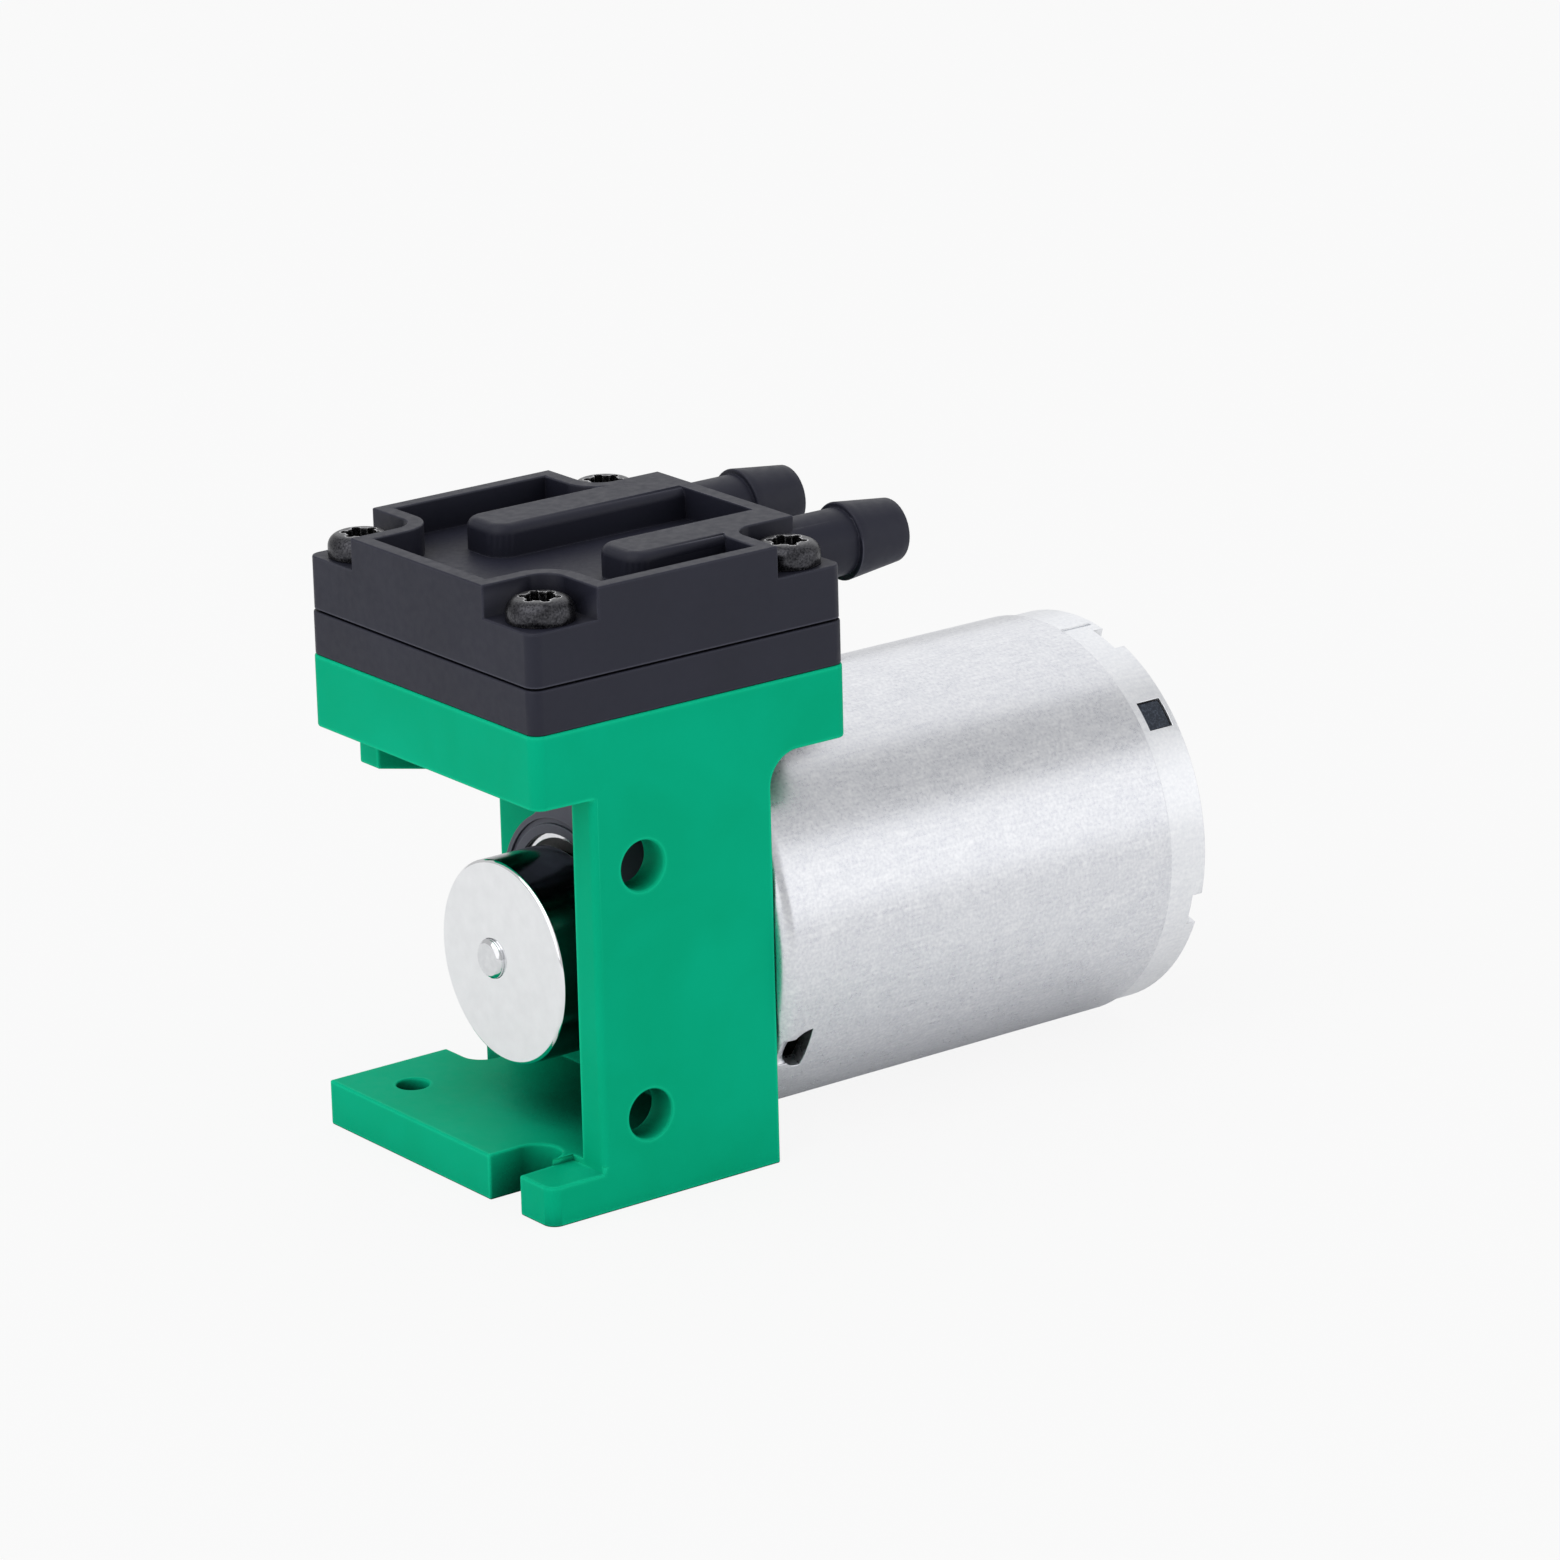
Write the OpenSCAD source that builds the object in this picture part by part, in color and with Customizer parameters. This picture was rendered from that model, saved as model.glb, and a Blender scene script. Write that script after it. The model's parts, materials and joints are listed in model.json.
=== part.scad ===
// Miniature diaphragm vacuum pump with its motor
// X runs back along the motor axis, Z is up, and the ground plane is the underside of the foot.
// Lengths along X are counted from the front face of the head.

/* [Motor] */
// Outside diameter of the motor can
can_d = 24; // [23:0.5:27]
// Length of the motor can
can_length = 30.8; // [28:0.2:40]
// Wall of the motor can
can_wall = 0.9; // [0.6:0.1:1.2]
// Rounding between the front and the side of the can
can_shoulder_r = 1; // [0.4:0.1:1.4]
// Length of the smooth band that is pressed over the end bell
band_length = 2.7; // [2.2:0.1:3.4]
// How far the band lies below the can's surface
band_step = 0.18; // [0.08:0.02:0.26]
// Diameter of the boss that centres the can in the bracket
boss_d = 6; // [5.6:0.2:7]
// Length of that boss
boss_length = 1.2; // [0.8:0.1:2]
// Diameter of the motor shaft
shaft_d = 2.3; // [2:0.1:2.4]
// Wall of the sintered shaft bushes
bush_wall = 1.15; // [0.8:0.05:1.25]
// How far the front bush reaches into the can behind its front plate
bush_lip = 0.4; // [0.2:0.1:0.8]
// Thickness of the arc magnets
magnet_t = 2.2; // [1.6:0.1:2.6]
// Angle that one magnet spans
magnet_arc = 130; // [110:2:150]
// How far the magnets reach past the armature core at each end
magnet_overhang = 0.5; // [0.2:0.1:1]
// Air gap between the magnets and the armature
air_gap = 0.5; // [0.3:0.05:0.8]
// Width of an armature pole
pole_w = 3; // [2.4:0.1:3.4]
// Thickness of a pole shoe at its middle
shoe_t = 1.5; // [1:0.1:2]
// Gap between two pole shoes
shoe_gap = 2.2; // [1.4:0.1:3]
// Wall of the armature's hub round the shaft
hub_wall = 1.6; // [1.2:0.1:2]
// Thickness of the winding on each side of a pole
coil_t = 1.5; // [1:0.1:1.8]
// Distance of the windings from the can's front plate
coil_front_gap = 2; // [1.4:0.1:3]
// Distance of the windings from the commutator
coil_rear_gap = 0.5; // [0.3:0.1:1]
// Diameter of the commutator
commutator_d = 5.8; // [5:0.1:6.4]
// Length of the commutator
commutator_length = 3.6; // [3:0.1:4.4]
// Distance of the commutator from the end bell
commutator_gap = 0.6; // [0.4:0.1:1]
// Width of the slits between the commutator's bars
slit_w = 0.3; // [0.2:0.05:0.5]
// Depth of those slits
slit_depth = 0.7; // [0.4:0.1:1]
// Width of a brush
brush_w = 2; // [1.6:0.1:2.4]
// Length of a brush, outwards from the commutator
brush_length = 2.4; // [1.8:0.1:3]
// Thickness of the spring arms that hold the brushes
brush_arm_t = 0.3; // [0.2:0.05:0.4]
// Thickness of the plastic end bell
bell_t = 2.3; // [2:0.1:2.6]
// Diameter of the end bell's bush boss
bell_boss_d = 6.6; // [6:0.1:8]
// How far that boss stands out behind
bell_boss_length = 1; // [0.6:0.1:1.6]
// How far the rear bush and the shaft stay below that boss
rear_inset = 0.4; // [0.2:0.1:0.6]
// Distance between the two solder tabs
tab_spacing = 13; // [11:0.5:15]
// Length of a solder tab behind the end bell
tab_length = 4.3; // [3:0.1:6]
// Width of a solder tab
tab_w = 2; // [1.6:0.1:2.6]
// Thickness of a solder tab
tab_t = 0.4; // [0.3:0.1:0.6]
// Radius of the vents near the front of the can
vent_r = 1.45; // [1:0.05:1.8]
// Distance of a vent's straight side from the can's front
vent_x = 2.4; // [2:0.1:3]
// Width of the ramp that leads into a vent
vent_ramp_w = 1.9; // [1.2:0.1:2]
// Depth of that ramp where it ends inside the vent
vent_ramp_t = 0.5; // [0.3:0.05:0.6]
// Distance of that end from the vent's straight side
vent_ramp_x = 0.8; // [0.6:0.1:0.9]
// Slope of the ramp in degrees
vent_slope = 17; // [12:1:24]
// Length of the rectangular windows in the rear band
window_l = 1.7; // [1:0.1:1.8]
// Width of those windows
window_w = 1.85; // [1.2:0.05:2.4]
// Distance of those windows from the can's rear edge
window_inset = 0.35; // [0.2:0.05:0.5]
// How far the end bell's pads in those windows lie below the band
pad_sink = 0.15; // [0.05:0.05:0.3]
// Depth of the notches in the can's rear edge
notch_depth = 0.7; // [0.4:0.05:0.8]
// Width of those notches
notch_w = 2; // [1.4:0.1:2.6]
// Length of the narrow slits in the rear band
band_slit_l = 2.3; // [1.6:0.1:2.4]
// Distance of those slits from the can's rear edge
band_slit_inset = 0.3; // [0.2:0.05:0.35]
// Width of those slits
band_slit_w = 0.2; // [0.1:0.05:0.3]
// Depth of those slits
band_slit_depth = 0.3; // [0.2:0.05:0.4]

/* [Bracket] */
// Thickness of the foot
foot_t = 2.7; // [2:0.1:3.4]
// Thickness of the near side wall
side_wall_t = 2; // [1.6:0.1:2.4]
// Distance of the side wall's front edge from the head's front face
side_wall_x = 3.65; // [3.2:0.05:3.9]
// Thickness of the wall that carries the motor
back_wall_t = 3.35; // [3:0.05:4.2]
// Rounding of the side wall's front edge
edge_r = 0.4; // [0.2:0.05:0.6]
// Radius of the gussets behind the back wall
gusset_r = 1.9; // [1.2:0.1:2.4]
// Diameter of the two mounting holes in the side wall
side_hole_d = 2.9; // [2.4:0.1:3.4]
// Distance of those holes from the head's front face
side_hole_x = 6.93; // [6.2:0.05:8]
// Height of the lower side hole
side_hole_z = 5.1; // [4.8:0.1:6]
// Distance between the side holes
side_hole_spacing = 14.5; // [12:0.5:15]
// Width of the foot's near slot, which opens to the front
near_slot_w = 2.9; // [2.4:0.1:3.2]
// Depth of the near slot
near_slot_l = 3.65; // [3:0.05:4.2]
// Distance of the near slot from the near side
near_slot_inset = 4.45; // [4.2:0.05:5.4]
// How much lower the strip beside the near slot is
strip_step = 0.35; // [0.2:0.05:0.6]
// Width of the foot's far slot, which opens sideways
far_slot_w = 2.8; // [2.4:0.1:3.2]
// Depth of the far slot
far_slot_l = 3.2; // [2.6:0.1:4]
// Distance of the far slot from the head's front face
far_slot_x = 9.5; // [8.5:0.1:10]
// Diameter of the small hole in the foot
foot_hole_d = 1.9; // [1.6:0.1:2.2]
// Distance of the small hole from the front
foot_hole_x = 3.26; // [2.6:0.02:4]
// Distance of the small hole from the far side
foot_hole_inset = 3.7; // [3:0.1:4.4]
// Thickness of the apron that hangs from the block on the far side
apron_t = 1.9; // [1.5:0.1:2.2]
// Height of the apron at its front
apron_h = 2.85; // [2.2:0.05:3.4]
// Slope of the apron's lower edge in degrees
apron_slope = 12; // [8:1:16]
// Distance of the apron's front from the head's front face
apron_x = 3.04; // [2.6:0.02:3.6]
// How deep the motor screw heads are sunk below the wall's face
motor_screw_sink = 0.1; // [0.05:0.05:0.3]
// Radius of the circle that the two motor screws lie on
motor_screw_pitch_r = 8; // [7.6:0.1:8.4]
// Diameter of the motor screws
motor_screw_d = 2.5; // [2:0.1:2.6]

/* [Head] */
// Length of the head along the motor axis
head_l = 21.3; // [20.4:0.1:24]
// Width of the head
head_w = 21.9; // [21.2:0.1:24]
// Rounding of the head's upright corners
corner_r = 0.75; // [0.4:0.05:1.2]
// Height of the bracket's block that the diaphragm lies in
block_h = 4.25; // [4:0.05:5]
// Thickness of the valve plate
valve_plate_t = 2.55; // [2.4:0.05:3]
// Thickness of the cover under its rim
cover_t = 3.2; // [3:0.05:3.8]
// Height of the rim and the two ribs on the cover
rim_h = 1.85; // [1.6:0.05:2.2]
// Wall of that rim
rim_t = 0.95; // [0.7:0.05:1.2]
// How much smaller each plate is than the one below it, on each side
plate_step = 0.04; // [0.02:0.01:0.08]
// Height of the open seam between the two black plates
seam_gap = 0.14; // [0.08:0.02:0.2]
// Depth of that seam
seam_depth = 0.3; // [0.2:0.05:0.4]
// Distance of the cover screws from the head's sides
screw_inset = 2.3; // [2.2:0.05:2.4]
// Side of the square pockets that the rim leaves at the screws
pocket_side = 4.55; // [4.45:0.05:4.7]
// Rounding of a pocket's inner corner
pocket_r = 1.4; // [1:0.1:1.8]
// Diameter of the cover screws
screw_d = 2; // [1.8:0.1:2.2]
// Diameter of the cover screws' heads
screw_head_d = 3.8; // [3.4:0.1:4]
// Height of the cover screws' heads
screw_head_h = 1.3; // [1:0.1:1.5]
// How far the cover screws reach into the block
screw_grip = 3.2; // [2.6:0.1:3.4]
// Free depth of a screw hole below its screw
screw_hole_rest = 0.3; // [0.2:0.1:0.6]
// Width of the two ribs
rib_w = 3.8; // [3.4:0.1:4.2]
// Rounding along the ribs' top edges
rib_edge_r = 0.6; // [0.4:0.05:0.8]
// Rounding of the ribs' front corners, seen from above
rib_corner_r = 1.2; // [1:0.1:1.8]
// Distance of the near rib's front end from the head's front face
near_rib_x = 9.6; // [8.5:0.1:10.5]
// Distance of the far rib's front end from the head's front face
far_rib_x = 7.3; // [6.4:0.1:8.4]
// Sideways place of the near hose port
near_port_y = -5.25; // [-5.6:0.05:-4.4]
// Sideways place of the far hose port
far_port_y = 4.4; // [4.2:0.05:5.4]
// Height of the port axes above the cover's seam
port_z = 2.55; // [2.3:0.05:2.8]
// Radius of a port's neck
port_neck_r = 1.95; // [1.8:0.05:2.1]
// Length of a port's neck
port_neck_l = 4; // [3:0.1:5]
// How far the neck reaches into the cover
port_root = 0.6; // [0.4:0.1:0.7]
// Radius of the barb's collar
barb_r = 2.26; // [2.15:0.01:2.5]
// Radius of the barb's tip
barb_tip_r = 1.84; // [1.6:0.02:1.9]
// Length of the barb
barb_l = 3.7; // [3:0.1:4.6]
// Radius of a port's bore
port_bore_r = 0.9; // [0.7:0.05:0.95]

/* [Diaphragm and valves] */
// Diameter of the diaphragm
diaphragm_d = 18.4; // [17.6:0.1:18.8]
// Thickness of the diaphragm's clamped edge and centre
diaphragm_t = 1; // [0.8:0.05:1.2]
// Thickness of the diaphragm's rolling fold
fold_t = 0.5; // [0.4:0.05:0.6]
// Gap between the rolling fold and the edge of the opening
fold_gap = 0.15; // [0.1:0.05:0.25]
// Diameter of the opening that the rod passes
opening_d = 14; // [13.6:0.1:14.6]
// Height of the pump chamber above the diaphragm
chamber_h = 0.95; // [0.9:0.05:1.1]
// Diameter of the plate that holds the diaphragm on the rod
plate_d = 6.8; // [6:0.1:7]
// Thickness of that plate
plate_t = 0.7; // [0.6:0.05:0.7]
// Diameter of the screw through that plate
plate_screw_d = 2; // [1.6:0.1:2.2]
// How far that screw reaches into the rod
plate_screw_grip = 3.4; // [2.6:0.1:4]
// Width of the cross slots in that screw
plate_screw_slot = 0.4; // [0.3:0.05:0.5]
// Distance of each valve from the middle of the head
valve_offset = 3.3; // [3.1:0.05:3.5]
// Diameter of the valve flaps
valve_d = 4.6; // [4.2:0.1:4.8]
// Thickness of the valve flaps
valve_t = 0.35; // [0.25:0.05:0.4]
// How far a valve flap can lift
flap_lift = 0.15; // [0.1:0.05:0.2]
// Radial gap round a valve flap
flap_gap = 0.2; // [0.15:0.05:0.3]
// Diameter of the valve stems
valve_stem_d = 1.2; // [1:0.1:1.4]
// How far the bead on a valve stem stands out
valve_bead = 0.15; // [0.1:0.05:0.2]
// Height of that bead
valve_bead_h = 0.3; // [0.2:0.05:0.4]
// Diameter of the air holes round a valve stem
air_hole_d = 0.8; // [0.6:0.05:0.9]
// Diameter of the plenums over the valves
plenum_d = 5.4; // [5.2:0.1:5.6]
// Height of the plenums
plenum_h = 1.9; // [1.7:0.1:2.1]
// Width of the gasket round the plenums
gasket_w = 1.1; // [0.8:0.05:1.4]
// Thickness of the gasket
gasket_t = 0.5; // [0.3:0.05:0.6]

/* [Drive] */
// Throw of the crank journal
crank_throw = 1.55; // [1.2:0.05:1.6]
// Diameter of the balance disk
disk_d = 11.8; // [11:0.1:12.4]
// Length of the balance disk along the axis
disk_t = 4.3; // [3.6:0.05:4.4]
// Distance of the disk's face from the head's front face
disk_x = 4.15; // [3.9:0.05:4.6]
// Sideways offset of the disk's centre from the shaft
disk_offset = -0.95; // [-1.2:0.05:-0.4]
// Chamfer round the disk's face
disk_chamfer = 0.15; // [0.1:0.05:0.4]
// Chamfer round the disk's back
disk_back_chamfer = 0.3; // [0.1:0.05:0.6]
// Diameter of the shoulder between the disk and the bearing
shoulder_d = 6.6; // [6.4:0.1:7]
// How far the shaft shows in front of the disk
shaft_stub = 0.35; // [0.2:0.05:0.4]
// Bore of the ball bearing
bearing_bore = 6; // [5.9:0.05:6.2]
// Outside diameter of the ball bearing
bearing_d = 10; // [9.8:0.1:10.2]
// Width of the ball bearing
bearing_w = 2.5; // [2.3:0.05:2.6]
// Thickness of the bearing's inner ring
race_t = 0.6; // [0.5:0.02:0.65]
// Thickness of the bearing's outer ring
outer_race_t = 0.7; // [0.6:0.02:0.74]
// Diameter of the bearing's balls
ball_d = 1; // [0.96:0.02:1.1]
// Number of the bearing's balls
ball_count = 10; // [8:1:11]
// Thickness of the bearing's shields
shield_t = 0.15; // [0.1:0.05:0.2]
// How far the shields lie below the bearing's faces
shield_inset = 0.1; // [0.05:0.05:0.15]
// Outside diameter of the rod's big end
rod_ring_d = 11.7; // [11.2:0.1:12.2]
// Width of the rod along the motor axis
rod_w = 3.2; // [3.1:0.05:3.6]
// Lip of the big end in front of the bearing
rod_lip_t = 0.25; // [0.15:0.05:0.4]
// How far that lip reaches in over the bearing
rod_lip_h = 0.38; // [0.2:0.02:0.45]
// Width of the groove in the big end's front face
rod_groove_w = 0.3; // [0.2:0.05:0.4]
// Depth of that groove
rod_groove_t = 0.15; // [0.1:0.05:0.25]
// Distance of that groove from the big end's edge
rod_groove_inset = 0.35; // [0.2:0.05:0.4]
// Width of the rod's stem
stem_w = 3.4; // [3.1:0.1:4]
// Fillet between the big end and the stem
stem_fillet_r = 2; // [1.4:0.1:2.4]
// Diameter of the rod's seat under the diaphragm
seat_d = 7; // [6.6:0.1:7.4]
// Thickness of the rod's seat
seat_t = 1.2; // [0.9:0.05:1.5]
// How far the seat stands out over the widened stem
seat_overhang = 0.4; // [0.2:0.1:0.6]

/* [Clearances] */
// Gap between the rod and the wall behind it
rod_gap = 0.2; // [0.15:0.05:0.4]
// Free space round the rod's seat over its travel
seat_room = 0.4; // [0.3:0.05:0.5]
// Gap round the windings and between the brushes and their arms
coil_gap = 0.1; // [0.05:0.05:0.15]
// Gap between the can's top and the block
can_gap = 0.05; // [0.03:0.01:0.1]
// Radial gap of a part that is seated in another
seat_gap = 0.05; // [0.03:0.01:0.08]
// Radial gap of a pressed or screwed fit
press_gap = 0.01; // [0.005:0.005:0.02]
// Radial gap of a turning fit
run_gap = 0.02; // [0.01:0.005:0.04]
// Radial gap of a screw in its through hole
screw_gap = 0.1; // [0.05:0.01:0.15]

/* [Hidden] */
$fn = 96;
cut = 1;

green = "#0ea67a";
black = "#38383f";
steel = "#b9bcc0";
dark_steel = "#4a4c50";
rubber = "#2a2a2c";
bronze = "#a9824b";
copper = "#b8652f";
ferrite = "#3d3d40";

// Main planes along the motor axis
rod_x = head_l / 2;
wall_face_x = rod_x + rod_w / 2 + rod_gap;
can_x = wall_face_x + back_wall_t;
can_end_x = can_x + can_length;
bell_x = can_end_x - band_length;
bell_end_x = bell_x + bell_t;
overall_l = bell_end_x + tab_length;

// Main heights
axis_z = can_d / 2;
block_z = can_d + can_gap;
valve_plate_z = block_z + block_h;
seam_z = valve_plate_z + valve_plate_t;
cover_z = seam_z + cover_t;
diaphragm_z = valve_plate_z - diaphragm_t;
journal_z = axis_z + crank_throw;

// Motor parts
can_inner_r = can_d / 2 - can_wall;
bush_r = shaft_d / 2 + bush_wall;
bush_l = boss_length + can_wall + bush_lip;
magnet_r = can_inner_r - press_gap;
armature_r = magnet_r - magnet_t - air_gap;
hub_r = shaft_d / 2 + hub_wall;
commutator_end_x = bell_x - commutator_gap;
commutator_x = commutator_end_x - commutator_length;
coil_end_x = commutator_x - coil_rear_gap;
coil_x = can_x + can_wall + coil_front_gap;
core_x = coil_x + coil_t;
core_l = coil_end_x - coil_t - core_x;
coil_side = pole_w / 2 + coil_t;
coil_top_r = sqrt(pow(armature_r - shoe_t, 2) - pow(coil_side, 2)) - coil_gap;
shaft_end_x = bell_end_x + bell_boss_length - rear_inset / 2;
vent_angles = [-29, 151];
window_angles = [42, 222];
notch_angles = [72, -18, 252, 162];
slit_angles = [81, 261];

// Bracket parts
near_y = -head_w / 2;
far_y = head_w / 2;
near_slot_y = near_y + near_slot_inset;
motor_screw_lean = 30;
motor_screw_head_d = 1.65 * motor_screw_d;
motor_screw_head_h = 0.62 * motor_screw_d;

// Bearing
race_outer_r = bearing_d / 2 - outer_race_t;
race_inner_r = bearing_bore / 2 + race_t;
ball_pitch_r = (race_outer_r + race_inner_r) / 2;
bearing_x = rod_x - rod_w / 2 + rod_lip_t;

// Valves
valve_pocket_t = valve_t + flap_lift;
valve_bead_d = valve_stem_d + 2 * valve_bead;

// Ports and plenums
port_axis_z = seam_z + port_z;
port_x = head_l - 2 * plate_step;
collar_x = port_x + port_neck_l;

// Moves a shape drawn from the head's front face so that the whole pump is centred on X
module from_front(x = 0, y = 0, z = 0) {
    translate([x - overall_l / 2, y, z]) children();
}

// Cylinder along X between two places counted from the head's front face
module x_cylinder(r, x1, x2, y = 0, z = axis_z) {
    from_front(x1, y, z) rotate([0, 90, 0]) cylinder(r = r, h = x2 - x1);
}

// Solid turned about an axis along X, from points given as [x, radius]
module x_turned(points, y = 0, z = axis_z) {
    from_front(0, y, z) rotate([0, 90, 0]) rotate([0, 0, 180])
        rotate_extrude() polygon([for (p = points) [p[1], p[0]]]);
}

// Ring along X
module x_ring(r_out, r_in, x1, x2, y = 0, z = axis_z) {
    difference() {
        x_cylinder(r_out, x1, x2, y, z);
        x_cylinder(r_in, x1 - cut, x2 + cut, y, z);
    }
}

// Rectangle with round corners, drawn from its lower left corner
module rounded_rectangle(l, w, r) {
    translate([r, 0]) square([l - 2 * r, w]);
    translate([0, r]) square([l, w - 2 * r]);
    for (x = [r, l - r], y = [r, w - r]) translate([x, y]) circle(r);
}

// Outline of a head plate, level steps smaller than the block
module plate_outline(level, inset = 0) {
    less = level * plate_step + inset;
    translate([less, less - head_w / 2])
        rounded_rectangle(head_l - 2 * less, head_w - 2 * less, max(corner_r - inset, 0.2));
}

// Places its children at the four cover screws
module at_screws() {
    for (x = [screw_inset, head_l - screw_inset], y = [-1, 1])
        translate([x, y * (head_w / 2 - screw_inset)]) children();
}

// Places its children at the two motor screws, on the face that they come from
module at_motor_screws(x) {
    for (turn = [motor_screw_lean, motor_screw_lean + 180])
        from_front(x, motor_screw_pitch_r * sin(turn), axis_z + motor_screw_pitch_r * cos(turn))
            rotate([0, 90, 0]) children();
}

// Foot with its slots, its small hole and the lower strip beside the near slot
module foot() {
    difference() {
        from_front(0, near_y, 0) cube([can_x, head_w, foot_t]);
        from_front(-cut, near_slot_y - near_slot_w / 2, -cut)
            cube([near_slot_l - near_slot_w / 2 + cut, near_slot_w, foot_t + 2 * cut]);
        from_front(near_slot_l - near_slot_w / 2, near_slot_y, -cut)
            cylinder(d = near_slot_w, h = foot_t + 2 * cut);
        from_front(far_slot_x - far_slot_w / 2, far_y - far_slot_l + far_slot_w / 2, -cut)
            cube([far_slot_w, far_slot_l, foot_t + 2 * cut]);
        from_front(far_slot_x, far_y - far_slot_l + far_slot_w / 2, -cut)
            cylinder(d = far_slot_w, h = foot_t + 2 * cut);
        from_front(foot_hole_x, far_y - foot_hole_inset, -cut)
            cylinder(d = foot_hole_d, h = foot_t + 2 * cut);
        from_front(-cut, near_y - cut, foot_t - strip_step)
            cube([side_wall_x + cut, near_slot_inset - near_slot_w / 2 + cut, strip_step + cut]);
        from_front(0, near_y, -cut) outer_corner_cut(corner_r, foot_t + 2 * cut);
    }
}

// What a rounding takes off an upright corner that faces -X and -Y
module outer_corner_cut(r, h) {
    difference() {
        translate([-cut, -cut, 0]) cube([r + cut, r + cut, h]);
        translate([r, r, -cut]) cylinder(r = r, h = h + 2 * cut);
    }
}

// Near side wall with its two mounting holes
module side_wall() {
    difference() {
        from_front(side_wall_x, near_y, 0) cube([can_x - side_wall_x, side_wall_t, block_z]);
        for (z = [side_hole_z, side_hole_z + side_hole_spacing])
            from_front(side_hole_x, near_y - cut, z)
                rotate([-90, 0, 0]) cylinder(d = side_hole_d, h = side_wall_t + 2 * cut);
        from_front(side_wall_x, near_y, foot_t) outer_corner_cut(edge_r, block_z - foot_t);
    }
}

// Back wall with the seat of the motor's boss
module back_wall() {
    difference() {
        from_front(wall_face_x, near_y, 0) cube([back_wall_t, head_w, block_z]);
        x_cylinder(boss_d / 2 + seat_gap, wall_face_x - cut, can_x + cut);
    }
}

// Counterbored holes of the two motor screws
module motor_screw_holes() {
    at_motor_screws(wall_face_x - cut) {
        cylinder(d = motor_screw_head_d + 2 * screw_gap,
            h = motor_screw_head_h + motor_screw_sink + cut);
        cylinder(d = motor_screw_d + 2 * screw_gap, h = back_wall_t + 2 * cut);
    }
}

// Space that the rod's seat sweeps through below the block
module seat_sweep() {
    r = seat_d / 2 + seat_room;
    bottom = diaphragm_z - seat_t - 2 * crank_throw - seat_room;
    from_front(rod_x, 0, bottom) {
        for (y = [-crank_throw, crank_throw])
            translate([0, y, 0]) cylinder(r = r, h = block_z - bottom + cut);
        translate([-r, -crank_throw, 0]) cube([2 * r, 2 * crank_throw, block_z - bottom + cut]);
    }
}

// Concave gussets between the back wall and the overhanging block, clear of the can
module gussets() {
    for (y = [near_y, far_y - side_wall_t])
        from_front(can_x, y, block_z - gusset_r) rotate([90, 0, 0]) mirror([0, 0, 1])
            linear_extrude(side_wall_t) difference() {
                translate([-cut, 0]) square([gusset_r + cut, gusset_r + cut]);
                translate([gusset_r, 0]) circle(gusset_r);
                translate([gusset_r, -cut]) square([cut, gusset_r + 2 * cut]);
            }
}

// Apron on the far side, lower towards the back wall
module apron() {
    run = wall_face_x - apron_x;
    from_front(0, far_y, 0) rotate([90, 0, 0]) linear_extrude(apron_t)
        polygon([[apron_x, block_z + cut], [apron_x, block_z - apron_h],
            [wall_face_x + cut, block_z - apron_h - (run + cut) * tan(apron_slope)],
            [wall_face_x + cut, block_z + cut]]);
}

// Block that the diaphragm is clamped in
module block() {
    difference() {
        from_front(0, 0, block_z) linear_extrude(block_h) plate_outline(0);
        from_front(rod_x, 0, block_z - cut) cylinder(d = opening_d, h = block_h + 2 * cut);
        from_front(rod_x, 0, diaphragm_z)
            cylinder(d = diaphragm_d + 2 * seat_gap, h = diaphragm_t + cut);
        from_front(0, 0, valve_plate_z - screw_grip - screw_hole_rest) at_screws()
            cylinder(d = screw_d, h = screw_grip + screw_hole_rest + cut);
    }
}

module bracket() {
    color(green) difference() {
        union() {
            foot();
            side_wall();
            back_wall();
            gussets();
            apron();
            block();
        }
        from_front(rod_x, 0, block_z - cut) cylinder(d = opening_d, h = block_h / 2);
        motor_screw_holes();
        seat_sweep();
    }
}

// Ring of small air holes round a valve stem
module air_holes(z, h) {
    for (turn = [45:90:315])
        rotate([0, 0, turn]) translate([valve_d / 4 + valve_stem_d / 8, 0, z])
            cylinder(d = air_hole_d, h = h);
}

module valve_plate() {
    pocket_d = valve_d + 2 * flap_gap;
    color(black) difference() {
        from_front(0, 0, valve_plate_z) linear_extrude(valve_plate_t) plate_outline(1);
        from_front(rod_x, 0, valve_plate_z - cut) cylinder(d = opening_d, h = chamber_h + cut);
        from_front(0, 0, valve_plate_z - cut) at_screws()
            cylinder(d = screw_d + 2 * screw_gap, h = valve_plate_t + 2 * cut);
        from_front(rod_x, -valve_offset, valve_plate_z) {
            cylinder(d = pocket_d, h = chamber_h + valve_pocket_t);
            cylinder(d = valve_stem_d + 2 * seat_gap, h = valve_plate_t + cut);
            air_holes(0, valve_plate_t + cut);
        }
        from_front(rod_x, valve_offset, valve_plate_z) {
            translate([0, 0, valve_plate_t - valve_pocket_t])
                cylinder(d = pocket_d, h = valve_pocket_t + cut);
            cylinder(d = valve_bead_d + 2 * seat_gap, h = chamber_h + valve_bead_h);
            cylinder(d = valve_stem_d + 2 * seat_gap, h = valve_plate_t + cut);
            air_holes(0, valve_plate_t + cut);
        }
    }
}

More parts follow.
